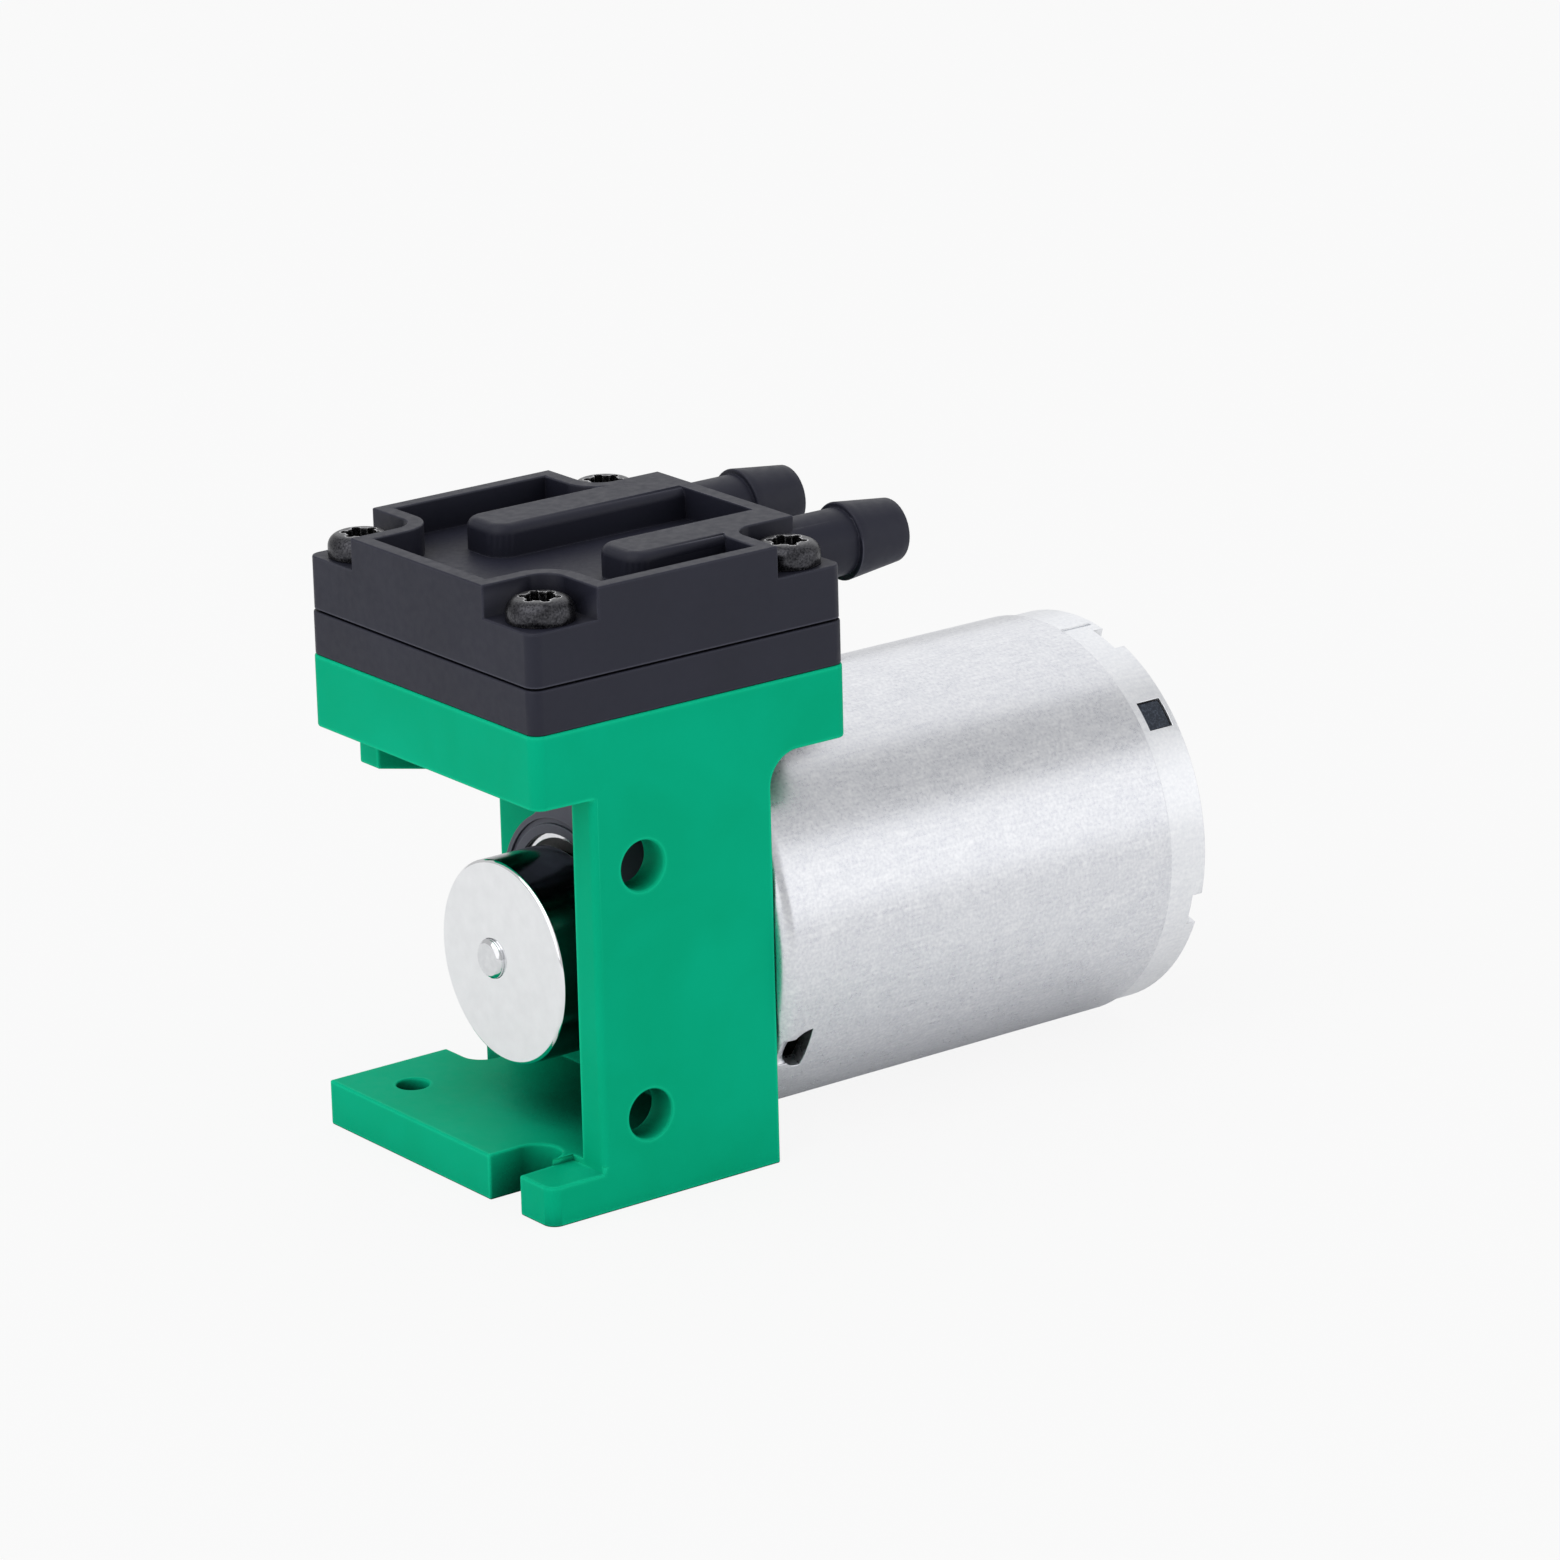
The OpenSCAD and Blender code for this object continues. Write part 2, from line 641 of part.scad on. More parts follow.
// Outline of the gasket that seals the two plenums from each other and from outside
module gasket_outline(grow) {
    difference() {
        for (y = [-valve_offset, valve_offset])
            translate([0, y]) circle(plenum_d / 2 + gasket_w + grow);
        for (y = [-valve_offset, valve_offset])
            translate([0, y]) circle(plenum_d / 2 + seat_gap - grow);
    }
}

module head_gasket() {
    color(rubber) from_front(rod_x, 0, seam_z) linear_extrude(gasket_t) gasket_outline(0);
}

// Square pockets with a rounded inner corner at the four cover screws
module pockets(grow = 0) {
    side = pocket_side + grow;
    r = pocket_r + grow;
    for (x = [0, 1], y = [0, 1])
        translate([head_l / 2, 0]) mirror([x, 0]) mirror([0, y]) translate([-head_l / 2, -head_w / 2]) {
            translate([-cut, -cut]) square([side + cut, side - r + cut]);
            translate([-cut, -cut]) square([side - r + cut, side + cut]);
            translate([side - r, side - r]) circle(r);
        }
}

// Rim along the cover's edge, drawn in around the four screws
module rim_outline() {
    difference() {
        plate_outline(2);
        pockets();
        difference() {
            plate_outline(2, rim_t);
            pockets(rim_t);
        }
    }
}

// Half of a rib's cross section, as wide as w, with its rounded top edge
module rib_half(w) {
    square([w, cut + rim_h - rib_edge_r]);
    square([w - rib_edge_r, cut + rim_h]);
    translate([w - rib_edge_r, cut + rim_h - rib_edge_r]) intersection() {
        circle(rib_edge_r);
        square(rib_edge_r);
    }
}

// Rib over a port's bore, with rounded front corners
module rib(x, y) {
    r = rib_corner_r;
    side = rib_w / 2 - r;
    from_front(x + r, y, cover_z - cut) {
        for (y = [-side, side]) translate([0, y, 0]) rotate_extrude() rib_half(r);
        rotate([90, 0, 90]) linear_extrude(port_x - rim_t / 2 - x - r) {
            rib_half(rib_w / 2);
            mirror([1, 0]) rib_half(rib_w / 2);
        }
        translate([0, side, 0]) rotate([90, 0, 0]) linear_extrude(2 * side) mirror([1, 0]) rib_half(r);
    }
}

// Barbed hose port, without its bore
module port(y) {
    x_turned([[port_x - port_root, 0], [port_x - port_root, port_neck_r], [collar_x, port_neck_r],
        [collar_x, barb_r], [collar_x + barb_l, barb_tip_r], [collar_x + barb_l, 0]],
        y, port_axis_z);
}

module top_cover() {
    color(black) difference() {
        union() {
            from_front(0, 0, seam_z) {
                linear_extrude(cover_t) plate_outline(2, seam_depth);
                translate([0, 0, seam_gap]) linear_extrude(cover_t - seam_gap) plate_outline(2);
            }
            from_front(0, 0, cover_z - cut) linear_extrude(rim_h + cut) rim_outline();
            difference() {
                union() {
                    rib(near_rib_x, near_port_y);
                    rib(far_rib_x, far_port_y);
                }
                from_front(0, 0, cover_z) linear_extrude(rim_h + cut) pockets();
            }
            port(near_port_y);
            port(far_port_y);
        }
        from_front(0, 0, seam_z - cut) at_screws()
            cylinder(d = screw_d + 2 * screw_gap, h = cover_t + 2 * cut);
        for (y = [-valve_offset, valve_offset])
            from_front(rod_x, y, seam_z - cut) cylinder(d = plenum_d, h = plenum_h + cut);
        from_front(rod_x, 0, seam_z - cut) linear_extrude(gasket_t + cut) gasket_outline(seat_gap);
        for (y = [near_port_y, far_port_y])
            x_cylinder(port_bore_r, rod_x, collar_x + barb_l + cut, y, port_axis_z);
    }
}

module diaphragm() {
    fold_r = (opening_d - seat_d) / 4 - fold_gap;
    fold_x = (opening_d + seat_d) / 4;
    color(rubber) from_front(rod_x, 0, diaphragm_z) difference() {
        union() {
            difference() {
                cylinder(d = diaphragm_d, h = diaphragm_t);
                rotate_extrude() translate([fold_x - fold_r, -cut])
                    square([2 * fold_r, diaphragm_t + 2 * cut]);
            }
            rotate_extrude() translate([fold_x, diaphragm_t]) difference() {
                circle(fold_r);
                circle(fold_r - fold_t);
                translate([-fold_r - cut, 0]) square(2 * (fold_r + cut));
            }
            rotate_extrude() for (side = [-1, 1])
                translate([fold_x + side * (fold_r - fold_t / 2) - fold_t / 2, 0])
                    square([fold_t, diaphragm_t]);
        }
        translate([0, 0, -cut]) cylinder(d = plate_screw_d + 2 * seat_gap, h = diaphragm_t + 2 * cut);
    }
}

// Umbrella valve: a thin flap on a stem with a bead that holds it in its hole
module umbrella_valve(stem_l) {
    cylinder(d = valve_d, h = valve_t);
    translate([0, 0, -stem_l]) cylinder(d = valve_stem_d, h = stem_l);
    translate([0, 0, -stem_l - valve_bead_h]) cylinder(d = valve_bead_d, h = valve_bead_h);
}

module inlet_valve() {
    roof_z = valve_plate_z + chamber_h + valve_pocket_t;
    color(rubber) from_front(rod_x, -valve_offset, roof_z) mirror([0, 0, 1])
        umbrella_valve(seam_z - roof_z);
}

module outlet_valve() {
    floor_z = seam_z - valve_pocket_t;
    color(rubber) from_front(rod_x, valve_offset, floor_z)
        umbrella_valve(floor_z - valve_plate_z - chamber_h - valve_bead_h);
}

// Pan head with a rounded edge and a six-lobed recess, standing on the plane Z = 0
module pan_head(d, h) {
    lobe_r = d * 0.09;
    edge_r = h * 0.5;
    difference() {
        union() {
            cylinder(d = d, h = h - edge_r);
            cylinder(d = d - 2 * edge_r, h = h);
            translate([0, 0, h - edge_r]) rotate_extrude() translate([d / 2 - edge_r, 0]) intersection() {
                circle(edge_r);
                square(edge_r);
            }
        }
        translate([0, 0, h * 0.4]) {
            cylinder(r = d * 0.2, h = h);
            for (turn = [0:60:300]) rotate([0, 0, turn]) translate([d * 0.2, 0, 0])
                cylinder(r = lobe_r, h = h);
        }
    }
}

module head_screws() {
    shank_l = cover_t + valve_plate_t + screw_grip;
    color(dark_steel) from_front(0, 0, cover_z) at_screws() {
        pan_head(screw_head_d, screw_head_h);
        translate([0, 0, -shank_l]) cylinder(r = screw_d / 2 - press_gap, h = shank_l + 0.01);
    }
}

// Outside of the can: boss, front plate, rounded shoulder and the stepped rear band
module can_outside() {
    r = can_d / 2;
    s = can_shoulder_r;
    x_cylinder(boss_d / 2, can_x - boss_length, can_x + cut);
    x_cylinder(r - s, can_x, can_x + s + cut);
    x_cylinder(r, can_x + s, bell_x);
    x_cylinder(r - band_step, bell_x - cut, can_end_x);
    from_front(can_x + s, 0, axis_z) rotate([0, 90, 0]) rotate_extrude()
        translate([r - s, 0]) intersection() {
            circle(s);
            translate([0, -s]) square([s, 2 * s]);
        }
}

module motor_can() {
    r = can_d / 2;
    color(steel) difference() {
        can_outside();
        x_cylinder(can_inner_r, can_x + can_wall, can_end_x + cut);
        x_cylinder(bush_r, can_x - boss_length - cut, can_x + can_wall + cut);
        for (turn = vent_angles) around_can(turn) intersection() {
            translate([can_x + vent_x, 0, 0]) cylinder(r = vent_r, h = r + cut);
            translate([can_x, -r, 0]) cube([vent_x, 2 * r, r + cut]);
        }
        for (turn = vent_angles) around_can(turn)
            translate([can_x + vent_x - vent_ramp_x, -vent_ramp_w / 2, r - vent_ramp_t])
                rotate([0, vent_slope, 0]) translate([-vent_x, 0, 0]) cube([vent_x, vent_ramp_w, cut]);
        for (turn = window_angles) around_can(turn)
            translate([can_end_x - window_inset - window_l, -window_w / 2, can_inner_r - cut])
                cube([window_l, window_w, can_wall + 2 * cut]);
        for (turn = notch_angles) around_can(turn)
            translate([can_end_x - notch_depth, -notch_w / 2, can_inner_r - cut])
                cube([notch_depth + cut, notch_w, can_wall + 2 * cut]);
        for (turn = slit_angles) around_can(turn)
            translate([can_end_x - band_slit_inset - band_slit_l, -band_slit_w / 2,
                r - band_step - band_slit_depth])
                cube([band_slit_l, band_slit_w, band_slit_depth + cut]);
        at_motor_screws(can_x - cut) cylinder(d = motor_screw_d, h = can_wall + 2 * cut);
    }
}

// Turns what is drawn over the can's top to an angle counted up from the near side
module around_can(turn) {
    from_front(0, 0, axis_z) rotate([90 - turn, 0, 0]) children();
}

// Pads of the end bell that fill the windows in the can
module window_pads() {
    x = can_end_x - window_inset - window_l + seat_gap;
    intersection() {
        x_cylinder(can_d / 2 - band_step - pad_sink, x, min(bell_end_x, x + window_l - 2 * seat_gap));
        for (turn = window_angles) around_can(turn)
            translate([x - cut, -window_w / 2 + seat_gap, can_inner_r - cut])
                cube([window_l + 2 * cut, window_w - 2 * seat_gap, can_wall + cut]);
    }
}

module motor_end_bell() {
    color(black) difference() {
        union() {
            window_pads();
            x_cylinder(can_inner_r - press_gap, bell_x, bell_end_x);
            x_cylinder(bell_boss_d / 2, bell_end_x - cut, bell_end_x + bell_boss_length);
        }
        x_cylinder(bush_r, bell_x - cut, bell_end_x + bell_boss_length + cut);
        for (side = [-1, 1]) from_front(bell_x - cut, side * tab_spacing / 2 - tab_t / 2,
            axis_z - tab_w / 2) cube([bell_t + 2 * cut, tab_t, tab_w]);
    }
}

module front_bush() {
    color(bronze) x_ring(bush_r - press_gap, shaft_d / 2 + run_gap, can_x - boss_length,
        can_x - boss_length + bush_l);
}

module rear_bush() {
    color(bronze) x_ring(bush_r - press_gap, shaft_d / 2 + run_gap, bell_x,
        bell_end_x + bell_boss_length - rear_inset);
}

// Sector of a ring in the plane across the axis, as a 2D shape
module sector(r_out, r_in, arc) {
    reach = r_out * 2;
    intersection() {
        difference() {
            circle(r_out);
            circle(r_in);
        }
        polygon([[0, 0], [reach * cos(arc / 2), -reach * sin(arc / 2)], [reach, -reach * sin(arc / 2)],
            [reach, reach * sin(arc / 2)], [reach * cos(arc / 2), reach * sin(arc / 2)]]);
    }
}

module magnets() {
    color(ferrite) for (side = [0, 180])
        from_front(core_x - magnet_overhang, 0, axis_z) rotate([0, 90, 0]) rotate([0, 0, side])
            linear_extrude(core_l + 2 * magnet_overhang) sector(magnet_r, magnet_r - magnet_t, magnet_arc);
}

// Places its children at the three armature poles, drawn along X and extruded along the axis
module at_poles(x) {
    for (turn = [0:120:240])
        from_front(x, 0, axis_z) rotate([0, 90, 0]) rotate([0, 0, turn]) children();
}

module armature_core() {
    shoe_arc = 120 - 360 * shoe_gap / (2 * PI * armature_r);
    color(steel) difference() {
        union() {
            x_cylinder(hub_r, core_x, core_x + core_l);
            at_poles(core_x) linear_extrude(core_l) {
                translate([0, -pole_w / 2]) square([armature_r - shoe_t / 2, pole_w]);
                sector(armature_r, armature_r - shoe_t, shoe_arc);
            }
        }
        x_cylinder(shaft_d / 2 + press_gap, core_x - cut, core_x + core_l + cut);
    }
}

module armature_windings() {
    root_r = max(hub_r + coil_gap, (coil_side + coil_gap) / tan(60));
    color(copper) at_poles(coil_x) difference() {
        translate([root_r, -coil_side, 0])
            cube([coil_top_r - root_r, 2 * coil_side, core_l + 2 * coil_t]);
        translate([root_r - cut, -pole_w / 2 - seat_gap, coil_t - seat_gap])
            cube([coil_top_r - root_r + 2 * cut, pole_w + 2 * seat_gap, core_l + 2 * seat_gap]);
    }
}

module commutator() {
    color(copper) difference() {
        x_cylinder(commutator_d / 2, commutator_x, commutator_end_x);
        x_cylinder(shaft_d / 2 + press_gap, commutator_x - cut, commutator_end_x + cut);
        for (turn = [60:120:300]) from_front(0, 0, axis_z) rotate([turn, 0, 0])
            translate([commutator_x - cut, -slit_w / 2, commutator_d / 2 - slit_depth])
                cube([commutator_length + 2 * cut, slit_w, slit_depth + cut]);
    }
}

// Carbon brushes, each on a spring arm that stands on the end bell
module brushes() {
    mid_x = (commutator_x + commutator_end_x) / 2;
    in_r = commutator_d / 2 + 2 * seat_gap;
    color(ferrite) for (side = [-1, 1]) {
        difference() {
            from_front(mid_x - brush_w / 2, side > 0 ? 0 : -in_r - brush_length, axis_z - brush_w / 2)
                cube([brush_w, in_r + brush_length, brush_w]);
            x_cylinder(in_r, mid_x - brush_w, mid_x + brush_w);
        }
        from_front(mid_x - brush_w / 2, side * (in_r + brush_length + brush_arm_t / 2) - brush_arm_t / 2,
            axis_z - brush_w / 2) cube([bell_x - mid_x + brush_w / 2, brush_arm_t, brush_w]);
    }
}

module terminals() {
    hole_d = tab_w * 0.45;
    color(bronze) for (side = [-1, 1]) difference() {
        from_front(bell_x, side * tab_spacing / 2 - tab_t / 2 + press_gap, axis_z - tab_w / 2 + press_gap)
            cube([bell_t + tab_length, tab_t - 2 * press_gap, tab_w - 2 * press_gap]);
        from_front(overall_l - tab_w * 0.6, side * tab_spacing / 2 - cut, axis_z)
            rotate([-90, 0, 0]) cylinder(d = hole_d, h = 2 * cut);
    }
}

module motor_screws() {
    shank_l = back_wall_t - motor_screw_head_h - motor_screw_sink + can_wall;
    color(dark_steel) at_motor_screws(wall_face_x + motor_screw_sink + motor_screw_head_h) {
        mirror([0, 0, 1]) pan_head(motor_screw_head_d, motor_screw_head_h);
        translate([0, 0, -0.01]) cylinder(r = motor_screw_d / 2 - press_gap, h = shank_l);
    }
}

module motor_shaft() {
    r = shaft_d / 2;
    tip = 0.2;
    front = disk_x - shaft_stub;
    color(steel) x_turned([[front, 0], [front, r - tip], [front + tip, r], [shaft_end_x - tip, r],
        [shaft_end_x, r - tip], [shaft_end_x, 0]]);
}

module eccentric() {
    shoulder_x = disk_x + disk_t;
    r = disk_d / 2;
    color(steel) difference() {
        union() {
            x_turned([[disk_x, 0], [disk_x, r - disk_chamfer], [disk_x + disk_chamfer, r],
                [shoulder_x - disk_back_chamfer, r], [shoulder_x, r - disk_back_chamfer], [shoulder_x, 0]],
                disk_offset);
            x_cylinder(shoulder_d / 2, shoulder_x - cut, bearing_x, 0, journal_z);
            x_cylinder(bearing_bore / 2 - press_gap, bearing_x - cut, bearing_x + bearing_w, 0, journal_z);
        }
        x_cylinder(shaft_d / 2 + press_gap, disk_x - cut, bearing_x + bearing_w + cut);
    }
}

// Groove that the balls run in
module ball_groove() {
    from_front(bearing_x + bearing_w / 2, 0, journal_z) rotate([0, 90, 0])
        rotate_extrude() translate([ball_pitch_r, 0]) circle(ball_d / 2 + run_gap);
}

module bearing_inner_race() {
    color(steel) difference() {
        x_ring(race_inner_r, bearing_bore / 2, bearing_x, bearing_x + bearing_w, 0, journal_z);
        ball_groove();
    }
}

module bearing_outer_race() {
    color(steel) difference() {
        x_ring(bearing_d / 2 - press_gap, race_outer_r, bearing_x, bearing_x + bearing_w, 0, journal_z);
        ball_groove();
    }
}

module bearing_balls() {
    color(steel) for (i = [0 : ball_count - 1])
        from_front(bearing_x + bearing_w / 2, 0, journal_z) rotate([i * 360 / ball_count, 0, 0])
            translate([0, 0, ball_pitch_r]) sphere(d = ball_d);
}

module bearing_shields() {
    color(black) for (x = [bearing_x + shield_inset, bearing_x + bearing_w - shield_inset - shield_t])
        x_ring(race_outer_r - press_gap, race_inner_r + 2 * run_gap, x, x + shield_t, 0, journal_z);
}

// Outline of the rod's big end, its filleted stem and the widening under the seat
module rod_outline() {
    ring_r = rod_ring_d / 2;
    fillet_y = stem_w / 2 + stem_fillet_r;
    fillet_z = sqrt(pow(ring_r + stem_fillet_r, 2) - pow(fillet_y, 2));
    seat_z = diaphragm_z - seat_t - journal_z;
    top_r = (seat_d - stem_w) / 2 - seat_overhang;
    circle(ring_r);
    translate([-stem_w / 2, 0]) square([stem_w, seat_z + seat_t / 2]);
    for (side = [0, 1]) mirror([side, 0]) {
        difference() {
            polygon([[0, 0], [fillet_y, fillet_z], [0, fillet_z]]);
            translate([fillet_y, fillet_z]) circle(stem_fillet_r);
        }
        difference() {
            translate([0, seat_z - top_r]) square([stem_w / 2 + top_r, top_r + seat_t / 2]);
            translate([stem_w / 2 + top_r, seat_z - top_r]) circle(top_r);
        }
    }
}

module connecting_rod() {
    front = rod_x - rod_w / 2;
    color(black) difference() {
        union() {
            from_front(front, 0, journal_z) rotate([90, 0, 90]) linear_extrude(rod_w) rod_outline();
            from_front(rod_x, 0, diaphragm_z - seat_t) cylinder(d = seat_d, h = seat_t);
        }
        x_cylinder(bearing_d / 2, bearing_x, front + rod_w + cut, 0, journal_z);
        x_cylinder(bearing_d / 2 - rod_lip_h, front - cut, bearing_x + cut, 0, journal_z);
        x_ring(rod_ring_d / 2 - rod_groove_inset, rod_ring_d / 2 - rod_groove_inset - rod_groove_w,
            front - cut, front + rod_groove_t, 0, journal_z);
        from_front(rod_x, 0, diaphragm_z - plate_screw_grip - screw_hole_rest)
            cylinder(d = plate_screw_d, h = plate_screw_grip + screw_hole_rest + cut);
    }
}

module diaphragm_plate() {
    color(steel) from_front(rod_x, 0, valve_plate_z) difference() {
        cylinder(d = plate_d, h = plate_t);
        translate([0, 0, -cut]) cylinder(d = plate_screw_d + 2 * seat_gap, h = plate_t + 2 * cut);
        translate([0, 0, plate_t - plate_screw_d * 0.3])
            cylinder(d1 = plate_screw_d + 2 * seat_gap, d2 = plate_screw_d * 1.7 + 2 * seat_gap,
                h = plate_screw_d * 0.3 + 0.01);
    }
}

module plate_screw() {
    head_h = plate_screw_d * 0.3;
    shank_l = plate_screw_grip + diaphragm_t + plate_t;
    color(dark_steel) from_front(rod_x, 0, valve_plate_z + plate_t) difference() {
        union() {
            translate([0, 0, -shank_l]) cylinder(r = plate_screw_d / 2 - press_gap, h = shank_l);
            translate([0, 0, -head_h]) cylinder(d1 = plate_screw_d, d2 = plate_screw_d * 1.65, h = head_h);
        }
        for (turn = [0, 90]) rotate([0, 0, turn])
            translate([-plate_screw_d * 0.55, -plate_screw_slot / 2, -head_h * 0.8])
                cube([plate_screw_d * 1.1, plate_screw_slot, head_h + cut]);
    }
}

bracket();
valve_plate();
top_cover();
head_gasket();
diaphragm();
inlet_valve();
outlet_valve();
head_screws();
motor_can();
motor_end_bell();
front_bush();
rear_bush();
magnets();
brushes();
terminals();
motor_screws();
motor_shaft();
armature_core();
armature_windings();
commutator();
eccentric();
bearing_inner_race();
connecting_rod();
bearing_outer_race();
bearing_balls();
bearing_shields();
diaphragm_plate();
plate_screw();
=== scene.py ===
import json
import math

import bmesh
import bpy
from mathutils import Matrix, Vector

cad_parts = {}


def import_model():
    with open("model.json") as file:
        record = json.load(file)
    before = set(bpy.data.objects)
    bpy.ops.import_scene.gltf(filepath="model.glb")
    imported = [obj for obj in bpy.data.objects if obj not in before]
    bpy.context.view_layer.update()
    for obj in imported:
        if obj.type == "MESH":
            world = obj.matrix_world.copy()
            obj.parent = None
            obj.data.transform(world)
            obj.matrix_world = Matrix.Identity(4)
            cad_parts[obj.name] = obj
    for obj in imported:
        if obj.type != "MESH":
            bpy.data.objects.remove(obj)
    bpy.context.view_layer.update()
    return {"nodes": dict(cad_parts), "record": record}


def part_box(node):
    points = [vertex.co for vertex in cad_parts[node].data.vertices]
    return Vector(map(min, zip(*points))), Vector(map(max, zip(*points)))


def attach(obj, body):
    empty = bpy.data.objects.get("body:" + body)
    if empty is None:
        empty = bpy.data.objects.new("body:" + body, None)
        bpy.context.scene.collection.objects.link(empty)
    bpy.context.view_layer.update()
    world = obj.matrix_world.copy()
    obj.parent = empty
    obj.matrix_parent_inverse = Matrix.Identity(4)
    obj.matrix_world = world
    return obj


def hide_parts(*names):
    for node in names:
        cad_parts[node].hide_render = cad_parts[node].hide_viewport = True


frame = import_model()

MM = 0.001
NODES = frame["nodes"]
BODY_OF = {node: body for body, nodes in frame["record"]["behaviour"]["bodies"].items()
           for node in nodes}
SLOT_OF = {part["node"]: part["material_slot"] for part in frame["record"]["subparts"]}

# Places that a finish or a softened edge starts from: the can's band also carries a painted
# reflection, the disk's side painted shade
BAND_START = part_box("motor_end_bell")[0][0]     # where the can's rear band begins
DISK_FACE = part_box("eccentric")[0][0]
DISK_SIDE = DISK_FACE + 0.16 * MM               # behind the disk's bright front edge
COVER_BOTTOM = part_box("top_cover")[0][2]


# Colours, as the shader takes them
def srgb(red, green, blue):
    """Linear colour of a colour given as 0 to 255."""
    def linear(value):
        value /= 255
        return value / 12.92 if value <= 0.04045 else ((value + 0.055) / 1.055) ** 2.4
    return (linear(red), linear(green), linear(blue), 1)


def dimmed(colour, share):
    """A colour with only a share of its light."""
    return tuple(channel * share for channel in colour[:3]) + (1,)


GREEN = srgb(6, 176, 133)
GREEN_DEEP = srgb(5, 170, 126)
# Painted highlight along the green moulding's edges
GREEN_PAINTED_HIGHLIGHT = srgb(26, 212, 160)
# Painted shade for the green moulding's corners and the places behind other pieces
GREEN_PAINTED_SHADE = srgb(0, 48, 36)
BLACK = srgb(37, 38, 51)
# Painted highlight along the black moulding's edges
BLACK_PAINTED_HIGHLIGHT = srgb(76, 77, 90)


# Small helpers that lay out shader nodes
class Shader:
    """A material's node tree, with its Principled shader and its Object coordinates."""

    def __init__(self, name):
        self.material = bpy.data.materials.new(name)
        self.material.use_nodes = True
        self.tree = self.material.node_tree
        self.surface = self.tree.nodes["Principled BSDF"]
        self.place = self.tree.nodes.new("ShaderNodeTexCoord").outputs["Object"]

    def node(self, kind, **settings):
        """A new shader node with the given settings."""
        made = self.tree.nodes.new("ShaderNode" + kind)
        for key, value in settings.items():
            setattr(made, key, value)
        return made

    def join(self, output, node, name):
        """Links an output to the named input of a node."""
        self.tree.links.new(output, node.inputs[name])

    def set(self, name, value):
        """Gives an input of the Principled shader one value."""
        self.surface.inputs[name].default_value = value

    def stretched(self, x, y, z):
        """Object coordinates scaled along each axis, for grain that runs one way."""
        mapping = self.node("Mapping")
        mapping.inputs["Scale"].default_value = (x, y, z)
        self.join(self.place, mapping, "Vector")
        return mapping.outputs["Vector"]

    def noise(self, size, detail=3, place=None, distortion=0):
        """Noise whose features are about size metres across."""
        made = self.node("TexNoise")
        made.inputs["Scale"].default_value = 1 / size
        made.inputs["Detail"].default_value = detail
        made.inputs["Distortion"].default_value = distortion
        self.join(place or self.place, made, "Vector")
        return made.outputs["Fac"]

    def ramp(self, value, stops):
        """Colours or greys between stops of (place, colour)."""
        made = self.node("ValToRGB")
        elements = made.color_ramp.elements
        while len(elements) < len(stops):
            elements.new(0.5)
        for element, (where, colour) in zip(elements, stops):
            element.position = where
            is_grey = not isinstance(colour, tuple)
            element.color = (colour, colour, colour, 1) if is_grey else colour
        self.join(value, made, "Fac")
        return made.outputs["Color"]

    def mix(self, share, first, second):
        """Colour between first and second. Each of the three is a value or an output."""
        made = self.node("Mix", data_type="RGBA")
        share_socket, first_socket, second_socket = (made.inputs[i] for i in (0, 6, 7))
        for socket, value in ((share_socket, share), (first_socket, first),
                              (second_socket, second)):
            if isinstance(value, (int, float, tuple)):
                socket.default_value = value
            else:
                self.tree.links.new(value, socket)
        return made.outputs[2]

    def edges(self, radius):
        """White along the piece's edges: where a rounded normal leaves the true one."""
        bevel = self.node("Bevel", samples=6)
        bevel.inputs["Radius"].default_value = radius
        geometry = self.node("NewGeometry")
        dot = self.node("VectorMath", operation="DOT_PRODUCT")
        self.tree.links.new(bevel.outputs["Normal"], dot.inputs[0])
        self.tree.links.new(geometry.outputs["Normal"], dot.inputs[1])
        return self.ramp(dot.outputs["Value"], [(0.82, 1.0), (0.993, 0.0)])

    def painted_shade_mask(self, reach, deep, open_air):
        """White in corners and behind other pieces, where little light comes in."""
        shelter = self.node("AmbientOcclusion", samples=8)
        shelter.inputs["Distance"].default_value = reach
        return self.ramp(shelter.outputs["AO"], [(deep, 1.0), (open_air, 0.0)])

    def behind(self, x):
        """1 behind a place along the motor axis, 0 in front of it."""
        parts = self.node("SeparateXYZ")
        self.join(self.place, parts, "Vector")
        made = self.node("Math", operation="GREATER_THAN")
        self.tree.links.new(parts.outputs["X"], made.inputs[0])
        made.inputs[1].default_value = x
        return made.outputs[0]

    def bump(self, height, depth):
        """Relief of the given depth in metres."""
        made = self.node("Bump")
        made.inputs["Distance"].default_value = depth
        self.join(height, made, "Height")
        self.join(made.outputs["Normal"], self.surface, "Normal")

    def colour(self, output):
        self.join(output, self.surface, "Base Color")

    def roughness(self, output):
        self.join(output, self.surface, "Roughness")


